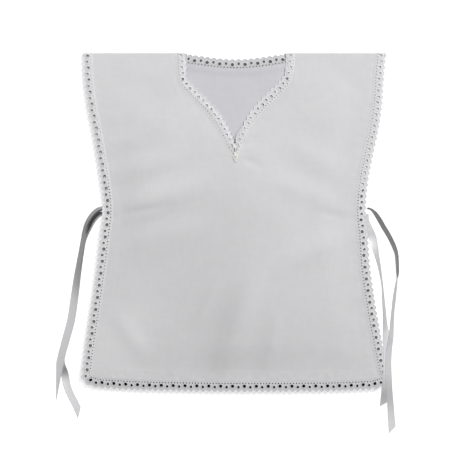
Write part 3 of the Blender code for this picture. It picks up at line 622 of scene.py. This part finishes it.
def left_neck_points(x, y, offset, out):
    share = point_share(x, y)
    points = front_lace_points(x + POINT_LAP * share, y, offset, out)
    points[:, 2] += POINT_RAISE * rise(share, 0.0, 0.625)
    return points


def right_neck_points(x, y, offset, out):
    return front_lace_points(x - POINT_TUCK * point_share(x, y), y, offset, out)


NECK_PLACES = {-1: left_neck_points, 1: right_neck_points}


def back_lift(x, y):
    """How far the back lies off the table: most at its neckline, least at the hem."""
    upper = UPPER_LIFT * rise(y, -10.0, 20.0)
    opening = OPENING_LIFT * rise(y, 60.0, 80.0) * rise(np.abs(x), 70.0, 56.0)
    neckline = rise(y, 146.0, 184.0) * rise(np.abs(x), 57.5, 49.5)
    shoulder = rise(y, SHOULDER_Y, SHOULDER_Y - 9.0)
    rest = (upper + opening) * np.maximum(shoulder, neckline)
    rest += POINT_LIFT * bell(x, 0.0, 24.0) * bell(y, 94.0, 25.0)
    return rest + (NECK_LIFT - rest) * neckline


def back_lace_points(x, y, offset, out):
    return np.column_stack((x, y, BACK_LACE + offset + back_lift(x, y)))


# Meshes

def add_layer(mesh, name, values):
    data = mesh.attributes.new(name, "FLOAT", "POINT").data
    data.foreach_set("value", np.asarray(values, np.float32))


def place_object(name, data):
    item = bpy.data.objects.new(name, data)
    SCENE.collection.objects.link(item)
    return item


def make_piece(name, points, faces, material, slot, node, layers):
    """A mesh in metres, from points in millimetres, that rides on the smock's one body."""
    mesh = bpy.data.meshes.new(name)
    mesh.from_pydata((np.asarray(points) * MM).tolist(), [], faces)
    mesh.validate()
    for layer, values in layers.items():
        add_layer(mesh, layer, values)
    mesh.materials.append(material)
    mesh.shade_smooth()
    mesh.set_sharp_from_angle(angle=SHARP_ANGLE)
    piece = place_object(name, mesh)
    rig.ride(piece, "root")
    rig.slot(piece, slot)
    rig.replaces(piece, node)
    return piece


def shell_faces(faces, count):
    """Faces of a closed shell: the upper ones, the same below, and walls round every edge."""
    seen = set()
    for face in faces:
        seen.update(zip(face, face[1:] + face[:1]))
    walls = [(b, a, a + count, b + count) for a, b in seen if (b, a) not in seen]
    below = [tuple(i + count for i in reversed(face)) for face in faces]
    return list(faces) + below + sorted(walls)


def make_shell(name, top, under, faces, material, slot, node, layers):
    """A piece from the points of its two sides, with the faces and layers of one of them."""
    return make_piece(name, np.vstack((top, under)), shell_faces(faces, len(top)), material,
                      slot, node, {key: np.tile(layers[key], 2) for key in layers})


# Cloth panels

def front_neck_x(side, y):
    """Edge of the cloth beneath the neck lace."""
    edge = NECK_EDGES[side]
    under = NECK_LAP + backing(0.0, y)
    return side * max(abs(np.interp(y, edge[:, 1], edge[:, 0])) - under, HALF_SLIT)


def front_grid(levels):
    """Flat points and upward faces of the front, whose halves part above the neck's point."""
    bottom = levels[0]
    points, faces, rows = [], [], []
    for level in levels:
        whole = level <= NECK_PART_Y + 1e-6
        above = min((level - bottom) / (ROLL_START - bottom), 1.0)
        halves = []
        for side in (-1, 1):
            edge = sewn_x(front_tip, side, level)
            beyond = side * (LAP + backing(edge, level))
            inner = 0.0 if whole else front_neck_x(side, level)
            x = np.linspace(edge + beyond, inner, FRONT_COLUMNS + 1)
            y = level + (sewn_y(front_hem_tip, x) - LAP - bottom) * (1 - above) ** HEM_FADE
            x[0] = sewn_x(front_tip, side, y[0]) + beyond
            halves.append(list(range(len(points), len(points) + len(x))))
            points += zip(x, y)
        if whole:
            points.pop()
            halves[1][-1] = halves[0][-1]
        rows.append(halves)
    for (left, right), (left_up, right_up) in zip(rows, rows[1:]):
        for i in range(FRONT_COLUMNS):
            faces.append((left[i], left[i + 1], left_up[i + 1], left_up[i]))
            faces.append((right[i + 1], right[i], right_up[i], right_up[i + 1]))
    return np.array(points), faces


def spaced(start, end, step):
    count = round((end - start) / step)
    return np.linspace(start, end, count, endpoint=False).tolist()


def make_front_cloth(material):
    bottom = sewn_y(front_hem_tip, 0.0) - LAP
    end = ROLL_START + QUARTER_ROLL
    levels = spaced(bottom, NECK_PART_Y, ROW_STEP) + spaced(NECK_PART_Y, ROLL_START, NECK_ROW_STEP)
    levels += spaced(ROLL_START, end, ROLL_ROW_STEP) + [end, end + ROLL_TAIL]
    flat, faces = front_grid(levels)
    x, y = flat[:, 0], flat[:, 1]
    ripple = front_ripple(x, y)
    sheets = [front_points(x, y, offset) for offset in (CLOTH / 2, -CLOTH / 2)]
    for sheet in sheets:
        sheet[:, 2] += ripple
    below = rise(sewn_y(back_hem_tip, x) - y, 0.0, 1.5)
    return make_shell("front_cloth", *sheets, faces, material, "cloth_front", "front_panel",
                      {"show": show_through_and_painted_light(x, y), "below": below})


def front_ripple(x, y):
    """Slight puckers along the sewn edges and a slow unevenness in the open cloth."""
    near_edge = edge_distance(x, y)
    for points in NECK_EDGES.values():
        near_edge = np.minimum(near_edge, near_line(x, y, points[::4])[0] - 1.0)
    near_edge = np.maximum(near_edge, 0.0)
    beside = np.abs(x) > 120
    run = np.where(beside, y, x) + 0.4 * np.where(beside, x, y)
    pucker = np.sin(run * 0.52 + 1.7 * np.sin(run * 0.071)) * bell(near_edge, 5.0, 6.0)
    slow = (np.sin(x * 0.043 + 1.1 * np.sin(y * 0.021)) * np.sin(y * 0.037 + 0.6)
            + 0.6 * np.sin(x * 0.091 - y * 0.052 + 2.0))
    calm = rise(y, SHOULDER_Y - 4.0, SHOULDER_Y - 18.0)
    return calm * (PUCKER * pucker + UNEVEN * slow * rise(near_edge, 0.0, 30.0))


def show_through_and_painted_light(x, y):
    """How strongly the back panel's sewn edges show through the front cloth, paler, and the painted light that makes
    its lower left corner paler.
    """
    hem = y - sewn_y(back_hem_tip, x) + 0.5
    beside = np.minimum(np.abs(x - sewn_x(back_tip, -1, y)), np.abs(x - sewn_x(back_tip, 1, y)))
    faint = 0.55 + 0.45 * np.sin(x * 0.045 + 0.8) * np.sin(x * 0.013 + 2.0)
    corner = rise(x, -78.0, -138.0) * rise(y, -70.0, -150.0)
    return (HEM_SHOWS * bell(hem, 0.0, SEAM_BLUR) * faint
            + SIDE_SHOWS * bell(beside, 0.0, SEAM_BLUR) + CORNER_PAINTED_LIGHT * corner)


def back_neck_curve():
    half = curve(BACK_NECK, BACK_NECK_PARTS + 1)[:, 2:]
    return np.vstack((half, half[-2::-1] * (-1.0, 1.0)))


def make_back_cloth(material):
    """The back: a grid of columns from the hem to the shoulders or the neckline."""
    neck = back_neck_curve()
    ends = [sewn_x(back_tip, side, -170.0) for side in (-1, 1)]
    points = []
    for share in np.linspace(0, 1, BACK_COLUMNS + 1):
        bottom = sewn_y(back_hem_tip, ends[0] + (ends[1] - ends[0]) * share) - LAP
        for height in BACK_HEIGHTS:
            y = bottom + (BACK_TOP - bottom) * height
            left = sewn_x(back_tip, -1, y) - LAP
            right = sewn_x(back_tip, 1, y) + LAP
            x = left + (right - left) * share
            if neck[0][0] < x < neck[-1][0]:
                limit = np.interp(x, neck[:, 0], neck[:, 1]) + LAP
                y = bottom + (min(limit, BACK_TOP) - bottom) * height
            points.append((x, y))
    flat = np.array(points)
    rows = len(BACK_HEIGHTS)
    faces = [(a, a + rows, a + rows + 1, a + 1) for i in range(BACK_COLUMNS)
             for a in range(i * rows, (i + 1) * rows - 1)]
    x, y = flat[:, 0], flat[:, 1]
    near_edge = np.minimum.reduce((x - sewn_x(back_tip, -1, y), sewn_x(back_tip, 1, y) - x,
                                   y - sewn_y(back_hem_tip, x),
                                   near_line(x, y, neck[::3])[0] - 1.5))
    height = BACK_CLOTH + (BACK_LAP - BACK_CLOTH) * rise(near_edge, 7.0, 0.0) + back_lift(x, y)
    height += BACK_UNEVEN * (1 + np.sin(x * 0.11 + y * 0.05)) * rise(near_edge, 0.0, 20.0)
    sheets = [np.column_stack((x, y, height + offset)) for offset in (CLOTH / 2, -CLOTH / 2)]
    plain = np.zeros(len(flat))
    return make_shell("back_cloth", *sheets, faces, material, "cloth_back", "back_panel",
                      {"show": plain, "below": plain})


# Lace

def shifted(holes):
    """The same repeat, begun a quarter later, with a hole over its joint."""
    moved = [hole._replace(along=(hole.along + REPEAT / 4) % REPEAT) for hole in holes]
    return moved + [hole._replace(along=hole.along + REPEAT) for hole in moved
                    if hole.along < hole.wide + RIM_WIDTH]


def tooth_edge(along):
    """Distance of the toothed edge from the tips; the notches are at each half repeat."""
    phase = np.abs((np.asarray(along, float) / (REPEAT / 2)) % 1.0 - 0.5) * 2
    return TOOTH_DEPTH * (0.55 * phase + 0.45 * (1 - np.cos(phase * math.pi / 2)))


def lace_cell(holes, start):
    """One repeat as flat points and faces, with its holes left open, and its relief."""
    points, edges = [], []

    def loop(places, closed=True):
        first = len(points)
        points.extend(Vector(place) for place in places)
        count = len(places)
        edges.extend((first + i, first + i + 1) for i in range(count - 1))
        if closed:
            edges.append((first + count - 1, first))

    teeth = np.linspace(0, REPEAT, TOOTH_POINTS)
    outline = [(a, tooth_edge(a + start)) for a in teeth]
    outline += [(REPEAT, v) for v in CELL_SIDE]
    outline += [(a, LACE_WIDTH) for a in np.linspace(REPEAT, 0, SEAM_POINTS)]
    outline += [(0.0, v) for v in reversed(CELL_SIDE)]
    loop(outline)
    for inset in EDGE_INSETS:
        loop([(a, tooth_edge(a + start) + inset) for a in teeth], closed=False)
    seam = np.linspace(0, REPEAT, SEAM_POINTS)
    loop([(a, LACE_WIDTH - SEAM_INSET) for a in seam], closed=False)
    for hole in holes:
        turns = 2 * math.pi * np.arange(hole.sides) / hole.sides
        for out in EYELET_RINGS if hole.wide > 1 else PINHOLE_RINGS:
            loop([(hole.along + (hole.wide + out) * math.cos(t),
                   hole.across + (hole.deep + out) * math.sin(t)) for t in turns])
    made, _, faces, *_ = delaunay_2d_cdt(points, edges, [], 0, 1e-5)
    made = np.array([tuple(point) for point in made])
    kept = []
    for face in faces:
        x, y = made[face].mean(axis=0)
        inside = 0 < x < REPEAT and tooth_edge(x + start) < y < LACE_WIDTH
        open_hole = any(((x - h.along) / h.wide) ** 2 + ((y - h.across) / h.deep) ** 2 < 1
                        for h in holes)
        if inside and not open_hole:
            kept.append(face)
    used = sorted({i for face in kept for i in face})
    place = {old: new for new, old in enumerate(used)}
    flat = made[used]
    return flat, [tuple(place[i] for i in face) for face in kept], lace_relief(flat, holes, start)


def lace_relief(flat, holes, start):
    """Height of the stitching above the lace's ground at points of one repeat."""
    along, across = flat[:, 0], flat[:, 1]
    height = EDGE_RIM * bell(across - tooth_edge(along + start), RIM_CREST, EDGE_SPREAD)
    for hole in holes:
        reach = np.hypot((along - hole.along) / hole.wide, (across - hole.across) / hole.deep)
        out = (reach - 1) * (hole.wide + hole.deep) / 2
        height = np.maximum(height, hole.rim * bell(out, RIM_CREST, RIM_SPREAD))
    return height


CELLS = {"front": lace_cell(LACE_HOLES, 0.0), "back": lace_cell(shifted(LACE_HOLES), REPEAT / 4)}


def weld(flat, relief, faces):
    """Join the points that two neighbouring repeats share."""
    _, first, inverse = np.unique(np.round(flat, 3), axis=0, return_index=True,
                                  return_inverse=True)
    inverse = inverse.reshape(-1)
    return flat[first], relief[first], [tuple(int(inverse[i]) for i in face) for face in faces]


def make_lace(name, bands, place, material, node, kind="front", dim=0.0):
    """A strip of lace through cross sections, mapped from repeats of the flat cell."""
    cut = curve(bands, LACE_PARTS * (len(bands) - 1) + 1)
    runs = lengths((cut[:, :2] + cut[:, 2:]) / 2)
    total = runs[-1] - 2 * SHORT
    count = round(total / REPEAT)
    cell, cell_faces, relief = CELLS[kind]
    flat = np.vstack([cell + np.array([i * REPEAT, 0.0]) for i in range(count)])
    faces = [tuple(k + i * len(cell) for k in face) for i in range(count) for face in cell_faces]
    flat, relief, faces = weld(flat, np.tile(relief, count), faces)
    across = flat[:, 1]
    run = SHORT + total * flat[:, 0] / (count * REPEAT)
    tips = np.column_stack([np.interp(run, runs, cut[:, k]) for k in (0, 1)])
    sewn = np.column_stack([np.interp(run, runs, cut[:, k]) for k in (2, 3)])
    x, y = (tips + (sewn - tips) * flat[:, 1:] / LACE_WIDTH).T
    out = 1 - across / LACE_WIDTH
    top, under = place(x, y, LACE / 2, out), place(x, y, -LACE / 2, out)
    top[:, 2] += relief - HEADER_DROP * rise(across, LACE_WIDTH - HEADER, LACE_WIDTH)
    # The last layer is painted shade, given for the strips that lie over the bare table
    layers = {"rim": np.clip(relief / EDGE_RIM, 0, 1), "along": run, "across": across,
              "cream": rise(y, 86.0, 79.0) * (place in NECK_PLACES.values()),
              "dim": np.full(len(flat), dim)}
    return make_shell(name, top, under, faces, material, "lace", node, layers)


def mitre_tip(corner, side):
    return corner + Vector((side * MITRE_ACROSS, -MITRE_DOWN))


def side_bands(tip, hem_tip, side, top):
    """Cross sections of a side's lace, from the shoulder down to its mitre at the hem."""
    corner = sewn_corner(tip, hem_tip, side)
    bands = []
    low = corner.y + SIDE_END
    for i in range(SIDE_PARTS + 1):
        y = top + (low - top) * i / SIDE_PARTS
        slope = (tip(side, y + 1) - tip(side, y - 1)) / 2
        x = tip(side, y)
        inward = Vector((-side, side * slope if i else 0.0)).normalized()
        bands.append((x, y, x + inward.x * LACE_WIDTH, y + inward.y * LACE_WIDTH))
    eased = corner.y - SIDE_TIP_EASE
    bands.append((tip(side, eased), eased, corner.x, corner.y + TIP_EASE))
    bands.append((*mitre_tip(corner, side), *corner))
    return bands


def hem_bands(tip, hem_tip):
    """Cross sections of a hem's lace, from its left mitre to its right one."""
    corners = [sewn_corner(tip, hem_tip, side) for side in (-1, 1)]
    ends = []
    for side, corner in zip((-1, 1), corners):
        x = corner.x + side * TIP_EASE
        ends.append([(*mitre_tip(corner, side), *corner),
                     (x, hem_tip(x), corner.x - side * SEWN_EASE,
                          sewn_y(hem_tip, corner.x))])
    even = np.linspace(corners[0].x + HEM_START, corners[1].x - HEM_START, HEM_PARTS + 1)
    middle = [(x, hem_tip(x), x, sewn_y(hem_tip, x)) for x in even]
    return ends[0] + middle + ends[1][::-1]


def back_neck_bands():
    return BACK_NECK + [(-tip_x, tip_y, -sewn_x, sewn_y)
                        for tip_x, tip_y, sewn_x, sewn_y in BACK_NECK[-2::-1]]


def make_all_lace(material):
    front, back = [], []
    for side, word, bands in ((-1, "left", NECK_LEFT), (1, "right", NECK_RIGHT)):
        front.append(make_lace("neck_lace_" + word, bands, NECK_PLACES[side], material,
                               "front_neck_lace_" + word))
    for side, word in ((-1, "left"), (1, "right")):
        bands = side_bands(front_tip, front_hem_tip, side, SHOULDER_Y)
        front.append(make_lace("side_lace_" + word, bands, front_lace_points, material,
                               "front_side_lace_" + word))
        bands = side_bands(back_tip, back_hem_tip, side, BACK_TOP)
        back.append(make_lace("back_lace_" + word, bands, back_lace_points, material,
                              "back_side_lace_" + word, "back"))
    front.append(make_lace("hem_lace", hem_bands(front_tip, front_hem_tip), front_lace_points,
                           material, "front_hem_lace", dim=0.42))
    back.append(make_lace("back_hem_edging", hem_bands(back_tip, back_hem_tip), back_lace_points,
                          material, "back_hem_lace"))
    back.append(make_lace("back_neck_edging", back_neck_bands(), back_lace_points, material,
                          "back_neck_lace", dim=0.45))
    return front, back


# Ribbons

def ribbon_rows(route):
    """Rows of x, y, z and roll: each tie rests on the table on its face or its edge."""
    rows = []
    for x, y, roll, lift in route:
        turn = math.radians(roll)
        z = RIBBON_WIDTH / 2 * abs(math.sin(turn)) + WALL / 2 * math.cos(turn) + lift
        rows.append((x, y, z, roll))
    return rows


def ribbon_axes(ahead, roll):
    """Width direction and face direction of a ribbon that runs ahead."""
    left = ahead.cross(Vector((0, 0, 1))).normalized()
    wide = left * math.cos(roll) + Vector((0, 0, 1)) * math.sin(roll)
    wide = (wide - ahead * wide.dot(ahead)).normalized()
    return wide, wide.cross(ahead).normalized()


def under_rows(rows, first, last):
    """Rows of the ribbon that lies close beneath another one."""
    found = []
    for index in range(first, last + 1):
        ahead = Vector(rows[min(index + 1, len(rows) - 1)][:3]) - Vector(rows[index - 1][:3])
        _, face = ribbon_axes(ahead.normalized(), math.radians(rows[index][3]))
        place = Vector(rows[index][:3]) - face * RIBBON_NEST
        found.append((place.x, place.y, place.z, rows[index][3]))
    return found


def ribbon_shade(name, run, spot):
    """Shade at the left ribbons' root and, lower down, on all but the left front one."""
    root = rise(run, 48.0, 24.0)
    if name == "ribbon_left_front":
        return max(0.35 * rise(run, 56.0, 22.0), root * rise(spot, -0.15, -0.55))
    if name == "ribbon_left_back":
        return max(root * rise(spot, -0.6, -0.3), 0.6 * bell(run, 196.0, 9.0))
    if name == "ribbon_right_front":
        return 0.24 * bell(run, 231.0, 20.0)
    return 0.36 * bell(run, 216.0, 20.0)


def make_ribbon(name, rows, slant, material):
    """A ribbon as a thin shell along its route, with a bead at each selvedge.

    The slant is the length over which its free end tapers; the sign says from which selvedge.
    """
    cut = curve(rows, RIBBON_PARTS * (len(rows) - 1) + 1)
    runs = lengths(cut[:, :3])
    length = runs[-1]

    def at(run):
        return np.array([np.interp(run, runs, cut[:, k]) for k in range(3)])

    count = round(length / RIBBON_STEP)
    points, route, values = [], [], []
    for i in range(count + 1):
        run = length * i / count
        place = Vector(at(run))
        ahead = Vector(at(min(run + 1, length)) - at(max(run - 1, 0)))
        roll = math.radians(np.interp(run, runs, cut[:, 3]))
        wide, face = ribbon_axes(ahead.normalized(), roll)
        low, high = -1.0, 1.0
        if length - run < abs(slant):
            short = 2 * BLUNTNESS * (1 - (length - run) / abs(slant))
            low, high = (low, high - short) if slant > 0 else (low + short, high)
        curl = CURL * bell(math.degrees(roll), 90.0, CURL_TURN)
        for sign in (1, -1):
            for spot, thick in zip(low + (RIBBON_SPOTS + 1) / 2 * (high - low), RIBBON_BEAD):
                bow = curl * (spot * spot - CURL_REST) + sign * RIBBON / 2 * thick
                points.append(place + wide * (spot * RIBBON_WIDTH / 2) + face * bow)
                # the last two values are the ribbon's painted shade on edge and its painted shadow
                values.append((spot * RIBBON_WIDTH / 2, run, abs(math.sin(roll)) ** 1.5,
                               ribbon_shade(name, run, spot)))
        if high - low > NARROWEST:
            middle = place + wide * ((low + high) / 2 * RIBBON_WIDTH / 2)
            route.append([c * MM for c in middle])
    n = len(RIBBON_SPOTS)
    faces = []
    for a in range(0, 2 * n * count, 2 * n):
        b = a + 2 * n
        for j in range(n - 1):
            faces.append((a + j, b + j, b + j + 1, a + j + 1))
            faces.append((a + n + j, a + n + j + 1, b + n + j + 1, b + n + j))
        faces.append((a, a + n, b + n, b))
        faces.append((a + n - 1, b + n - 1, b + 2 * n - 1, a + 2 * n - 1))
    for a, way in ((0, 1), (2 * n * count, -1)):
        faces += [(a + j, a + j + 1, a + n + j + 1, a + n + j)[::way] for j in range(n - 1)]
    piece = make_piece("satin_" + name, points, faces, material, "ribbon", name,
                       dict(zip(("across", "along", "on_edge", "deep"), zip(*values))))
    piece.visible_shadow = False
    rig.cord(piece, exit=route[0], length=float(lengths(np.array(route))[-1]),
            diameter=RIBBON_WIDTH * MM, far_end="bare", stiffness="limp", lay="loose", path=route)


def make_ribbons(material):
    left_front = ribbon_rows(LEFT_FRONT_TIE)
    shared = under_rows(left_front, *LEFT_SHARED)
    left_back = ribbon_rows(LEFT_BACK_ROOT) + shared + ribbon_rows(LEFT_BACK_END)
    make_ribbon("ribbon_left_front", left_front, 44.0, material)
    make_ribbon("ribbon_left_back", left_back, -10.0, material)
    make_ribbon("ribbon_right_front", ribbon_rows(RIGHT_FRONT_TIE), -6.7, material)
    make_ribbon("ribbon_right_back", ribbon_rows(RIGHT_BACK_TIE), -6.0, material)


# Materials

class Nodes:
    """Short calls for building a material's nodes."""

    def __init__(self, name):
        self.material = bpy.data.materials.new(name)
        self.material.use_nodes = True
        self.tree = self.material.node_tree
        self.place = self.node("ShaderNodeTexCoord", {}, "Object")

    def fill(self, inputs, sources):
        """Give each named input a number, a place or an opaque colour, or link it."""
        for key, source in sources.items():
            target = inputs[key]
            if isinstance(source, (int, float, tuple)):
                target.default_value = (*source, 1.0) if target.type == "RGBA" else source
            else:
                self.tree.links.new(source, target)

    def node(self, kind, sources, output=0, **settings):
        made = self.tree.nodes.new(kind)
        for key, value in settings.items():
            setattr(made, key, value)
        self.fill(made.inputs, sources)
        return made.outputs[output]

    def math(self, operation, *sources):
        return self.node("ShaderNodeMath", dict(enumerate(sources)), operation=operation)

    def stretch(self, x, y, vector=None):
        return self.node("ShaderNodeMapping", {"Vector": vector or self.place,
                                               "Scale": (x, y, 1.0)})

    def noise(self, vector, scale, detail=2.0, roughness=0.5):
        return self.node("ShaderNodeTexNoise", {"Vector": vector, "Scale": scale,
                                                "Detail": detail, "Roughness": roughness})

    def wave(self, way):
        return self.node("ShaderNodeTexWave", {"Vector": self.place, "Scale": 700.0}, "Fac",
                         bands_direction=way)

    def layer(self, name):
        return self.node("ShaderNodeAttribute", {}, "Fac", attribute_name=name)

    def mix(self, share, a, b):
        return self.node("ShaderNodeMix", {"Factor": share, "A": a, "B": b}, "Result",
                         data_type="RGBA")

    def bump(self, height, millimetres, strength, under=None):
        """Relief in the surface, over that of another bump."""
        sources = {"Height": height, "Distance": millimetres * MM, "Strength": strength}
        if under:
            sources["Normal"] = under
        return self.node("ShaderNodeBump", sources, "Normal")

    def finish(self, sources):
        self.fill(self.tree.nodes["Principled BSDF"].inputs, sources)
        return self.material


def tinted(colour, by):
    return tuple(part * by for part in colour)


def cloth_material(name, colour, shade):
    """Plain weave with a few thicker threads, off white and matt."""
    made = Nodes(name)
    warp = made.noise(made.stretch(1.0, 0.03), 1500.0)
    weft = made.noise(made.stretch(0.03, 1.0), 1500.0)
    slub = made.math("ADD", warp, weft)
    cloud = made.noise(made.place, 9.0, 3.0)
    along = made.noise(made.stretch(0.3, 1.0), 210.0, 1.0)
    down = made.noise(made.stretch(1.0, 0.3), 210.0, 1.0)
    streaks = made.math("MULTIPLY", made.math("SUBTRACT", along, down), 0.6)
    toned = made.math("ADD", made.math("MULTIPLY", slub, 0.4), made.math("MULTIPLY", cloud, 0.2))
    base = made.mix(made.math("ADD", toned, streaks), shade, colour)
    # Paler where the back's seams show through, and painted light on the lower left corner
    shown = made.math("MULTIPLY", made.layer("show"), 0.5)
    base = made.mix(shown, base, tinted(colour, 1.16))
    mottled = made.mix(made.noise(made.place, 230.0, 2.0, 0.6), tinted(colour, 0.80),
                       tinted(colour, 1.18))
    base = made.mix(made.math("MULTIPLY", made.layer("below"), 0.5), base, mottled)
    weave = made.math("MULTIPLY", made.wave("X"), made.wave("Y"))
    normal = made.bump(slub, 0.08, 0.25, made.bump(weave, 0.05, 0.25))
    return made.finish({"Base Color": base, "Normal": normal, "Roughness": 0.88,
                        "Specular IOR Level": 0.25, "Sheen Weight": 0.12,
                        "Sheen Roughness": 0.5})


def lace_material(name):
    """White edging: a close ground with corded rims round its holes and along its teeth."""
    made = Nodes(name)
    thread = made.noise(made.place, 2600.0, 2.0, 0.6)
    mottled = made.noise(made.place, 420.0, 3.0, 0.6)
    base = made.mix(mottled, *LACE_GROUND)
    base = made.mix(made.math("MULTIPLY", made.layer("rim"), 0.8), base, LACE_RIM)
    base = made.mix(made.layer("cream"), base, LACE_CREAM)
    seam = made.math("COMPARE", made.layer("across"), SEAM_LINE, SEAM_WIDTH / 2)
    steps = made.math("SINE", made.math("MULTIPLY", made.layer("along"), 2 * math.pi / STITCH))
    stitch = made.math("MULTIPLY", seam, made.math("MULTIPLY_ADD", steps, 0.5, 0.5))
    base = made.mix(made.math("MULTIPLY", stitch, 0.8), base, LACE_STITCH)
    # Painted shade on the lace over the bare table
    base = made.mix(made.layer("dim"), base, LACE_PAINTED_SHADE)
    normal = made.bump(stitch, 0.2, 0.6, made.bump(mottled, 0.2, 0.5))
    return made.finish({"Base Color": base, "Normal": made.bump(thread, 0.06, 0.5, normal),
                        "Roughness": 0.82, "Specular IOR Level": 0.25, "Sheen Weight": 0.1})


def ribbon_material(name):
    """White satin with fine cross threads and a plain woven selvedge, with painted shade where it stands on edge and
    painted shadow where ribbon_shade puts it.
    """
    made = Nodes(name)
    across = made.layer("across")
    place = made.node("ShaderNodeCombineXYZ", {0: across, 1: made.layer("along")})
    ribs = made.noise(made.stretch(0.25, 3.0, place), 2.2)
    selvedge = made.math("GREATER_THAN", made.math("ABSOLUTE", across), SELVEDGE)
    base = made.mix(ribs, *SATIN)
    base = made.mix(made.math("MULTIPLY", selvedge, 0.5), base, SATIN_SELVEDGE)
    # Painted shade: the satin darkens as the ribbon stands on edge
    base = made.mix(made.math("MULTIPLY", made.layer("on_edge"), 0.8), base, SATIN_EDGE_ON_SHADE)
    # Painted shadow from ribbon_shade, at the left ribbons' root and lower down
    base = made.mix(made.layer("deep"), base, SATIN_PAINTED_SHADOW)
    return made.finish({"Base Color": base, "Normal": made.bump(ribs, 0.06, 0.3),
                        "Roughness": 0.42, "Specular IOR Level": 0.35, "Sheen Weight": 0.05,
                        "Anisotropic": 0.4})


def floor_material(name):
    """A pale table that shines a little itself, but for the painted shade where lace lies over it."""
    made = Nodes(name)
    covered = made.layer("covered")
    base = made.mix(covered, made.mix(made.noise(made.place, 30.0), *TABLE_TOP), TABLE_SHADE_UNDER_LACE)
    shine = made.math("MULTIPLY_ADD", covered, -FLOOR_SHINE, FLOOR_SHINE)
    return made.finish({"Base Color": base, "Emission Color": WHITE, "Emission Strength": shine,
                        "Roughness": 0.9, "Specular IOR Level": 0.1})


# Stage

def add_camera():
    data = bpy.data.cameras.new("camera")
    data.sensor_width = SENSOR
    data.lens = SENSOR * CAMERA_HEIGHT / (VIEW_WIDTH * MM)
    SCENE.camera = place_object("camera", data)
    SCENE.camera.location = (VIEW_X * MM, VIEW_Y * MM, CAMERA_HEIGHT)
    SCENE.view_settings.view_transform = "Standard"
    SCENE.view_settings.look = "None"


def add_lamps():
    for index, lamp in enumerate(LAMPS):
        data = bpy.data.lights.new(f"lamp_{index}", "AREA")
        data.energy = LAMP_WATTS * lamp.share * lamp.distance ** 2
        data.size = lamp.size
        turn, height = math.radians(lamp.turn), math.radians(lamp.rise)
        aim = Vector((math.cos(turn) * math.cos(height), math.sin(turn) * math.cos(height),
                      math.sin(height)))
        item = place_object(f"lamp_{index}", data)
        item.location = aim * lamp.distance
        item.rotation_euler = aim.to_track_quat("Z", "Y").to_euler()
    SCENE.world = bpy.data.worlds.new("studio")
    SCENE.world.use_nodes = True
    background = SCENE.world.node_tree.nodes["Background"]
    background.inputs["Color"].default_value = (*WHITE, 1.0)
    background.inputs["Strength"].default_value = WORLD_LIGHT


def shade_strips_under_lace():
    """Painted shade where lace lies over the table: how dark, and the rows of its tips and of its sewn edge."""
    strips = [(1.0, hem_bands(front_tip, front_hem_tip)), (0.85, back_neck_bands())]
    for side in (-1, 1):
        strips.append((0.8, side_bands(front_tip, front_hem_tip, side, SHOULDER_Y - 3.0)))
    for dark, bands in strips:
        cut = curve(bands, STRIP_PARTS)
        yield dark, cut[:, :2], cut[:, 2:]


def add_table():
    """The table, with strips of painted shade beneath the open lace."""
    points = [(x * TABLE_HALF, y * TABLE_HALF, TABLE_Z)
              for x, y in ((-1, -1), (1, -1), (1, 1), (-1, 1))]
    faces, covered = [(0, 1, 2, 3)], [0.0] * 4
    for dark, tips, sewn in shade_strips_under_lace():
        for step, share in enumerate(STRIP_SHARES):
            covered += [dark * (step in (1, 2))] * STRIP_PARTS
            points += [(x, y, STRIP_Z) for x, y in (tips + (sewn - tips) * share).tolist()]
            if step:
                faces += [(i - STRIP_PARTS, i - STRIP_PARTS + 1, i + 1, i)
                          for i in range(len(points) - STRIP_PARTS, len(points) - 1)]
    mesh = bpy.data.meshes.new("table_top")
    mesh.from_pydata((np.array(points) * MM).tolist(), [], faces)
    add_layer(mesh, "covered", covered)
    mesh.materials.append(floor_material("pale_table"))
    table = place_object("table_top", mesh)
    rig.stage(table)


add_camera()
add_lamps()
add_table()
make_ribbons(ribbon_material("ribbon_satin"))
front_lace, back_lace = make_all_lace(lace_material("eyelet_lace"))
front_cloth = make_front_cloth(cloth_material("front_weave", FRONT_WEAVE, FRONT_WEAVE_SHADE))
back_cloth = make_back_cloth(cloth_material("back_weave", BACK_WEAVE_SHADED, BACK_WEAVE_SHADED_DARKER))
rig.sheet(front_cloth, flat=(0.342, 0.392), held="laid", area=0.113, rests_on=[back_cloth],
         with_pieces=front_lace)
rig.sheet(back_cloth, flat=(0.335, 0.380), held="laid", area=0.115, with_pieces=back_lace)

low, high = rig.bounds()
with open("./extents.json", "w") as out:
    json.dump([[list(cad_low), list(cad_high)], [list(low), list(high)]], out)
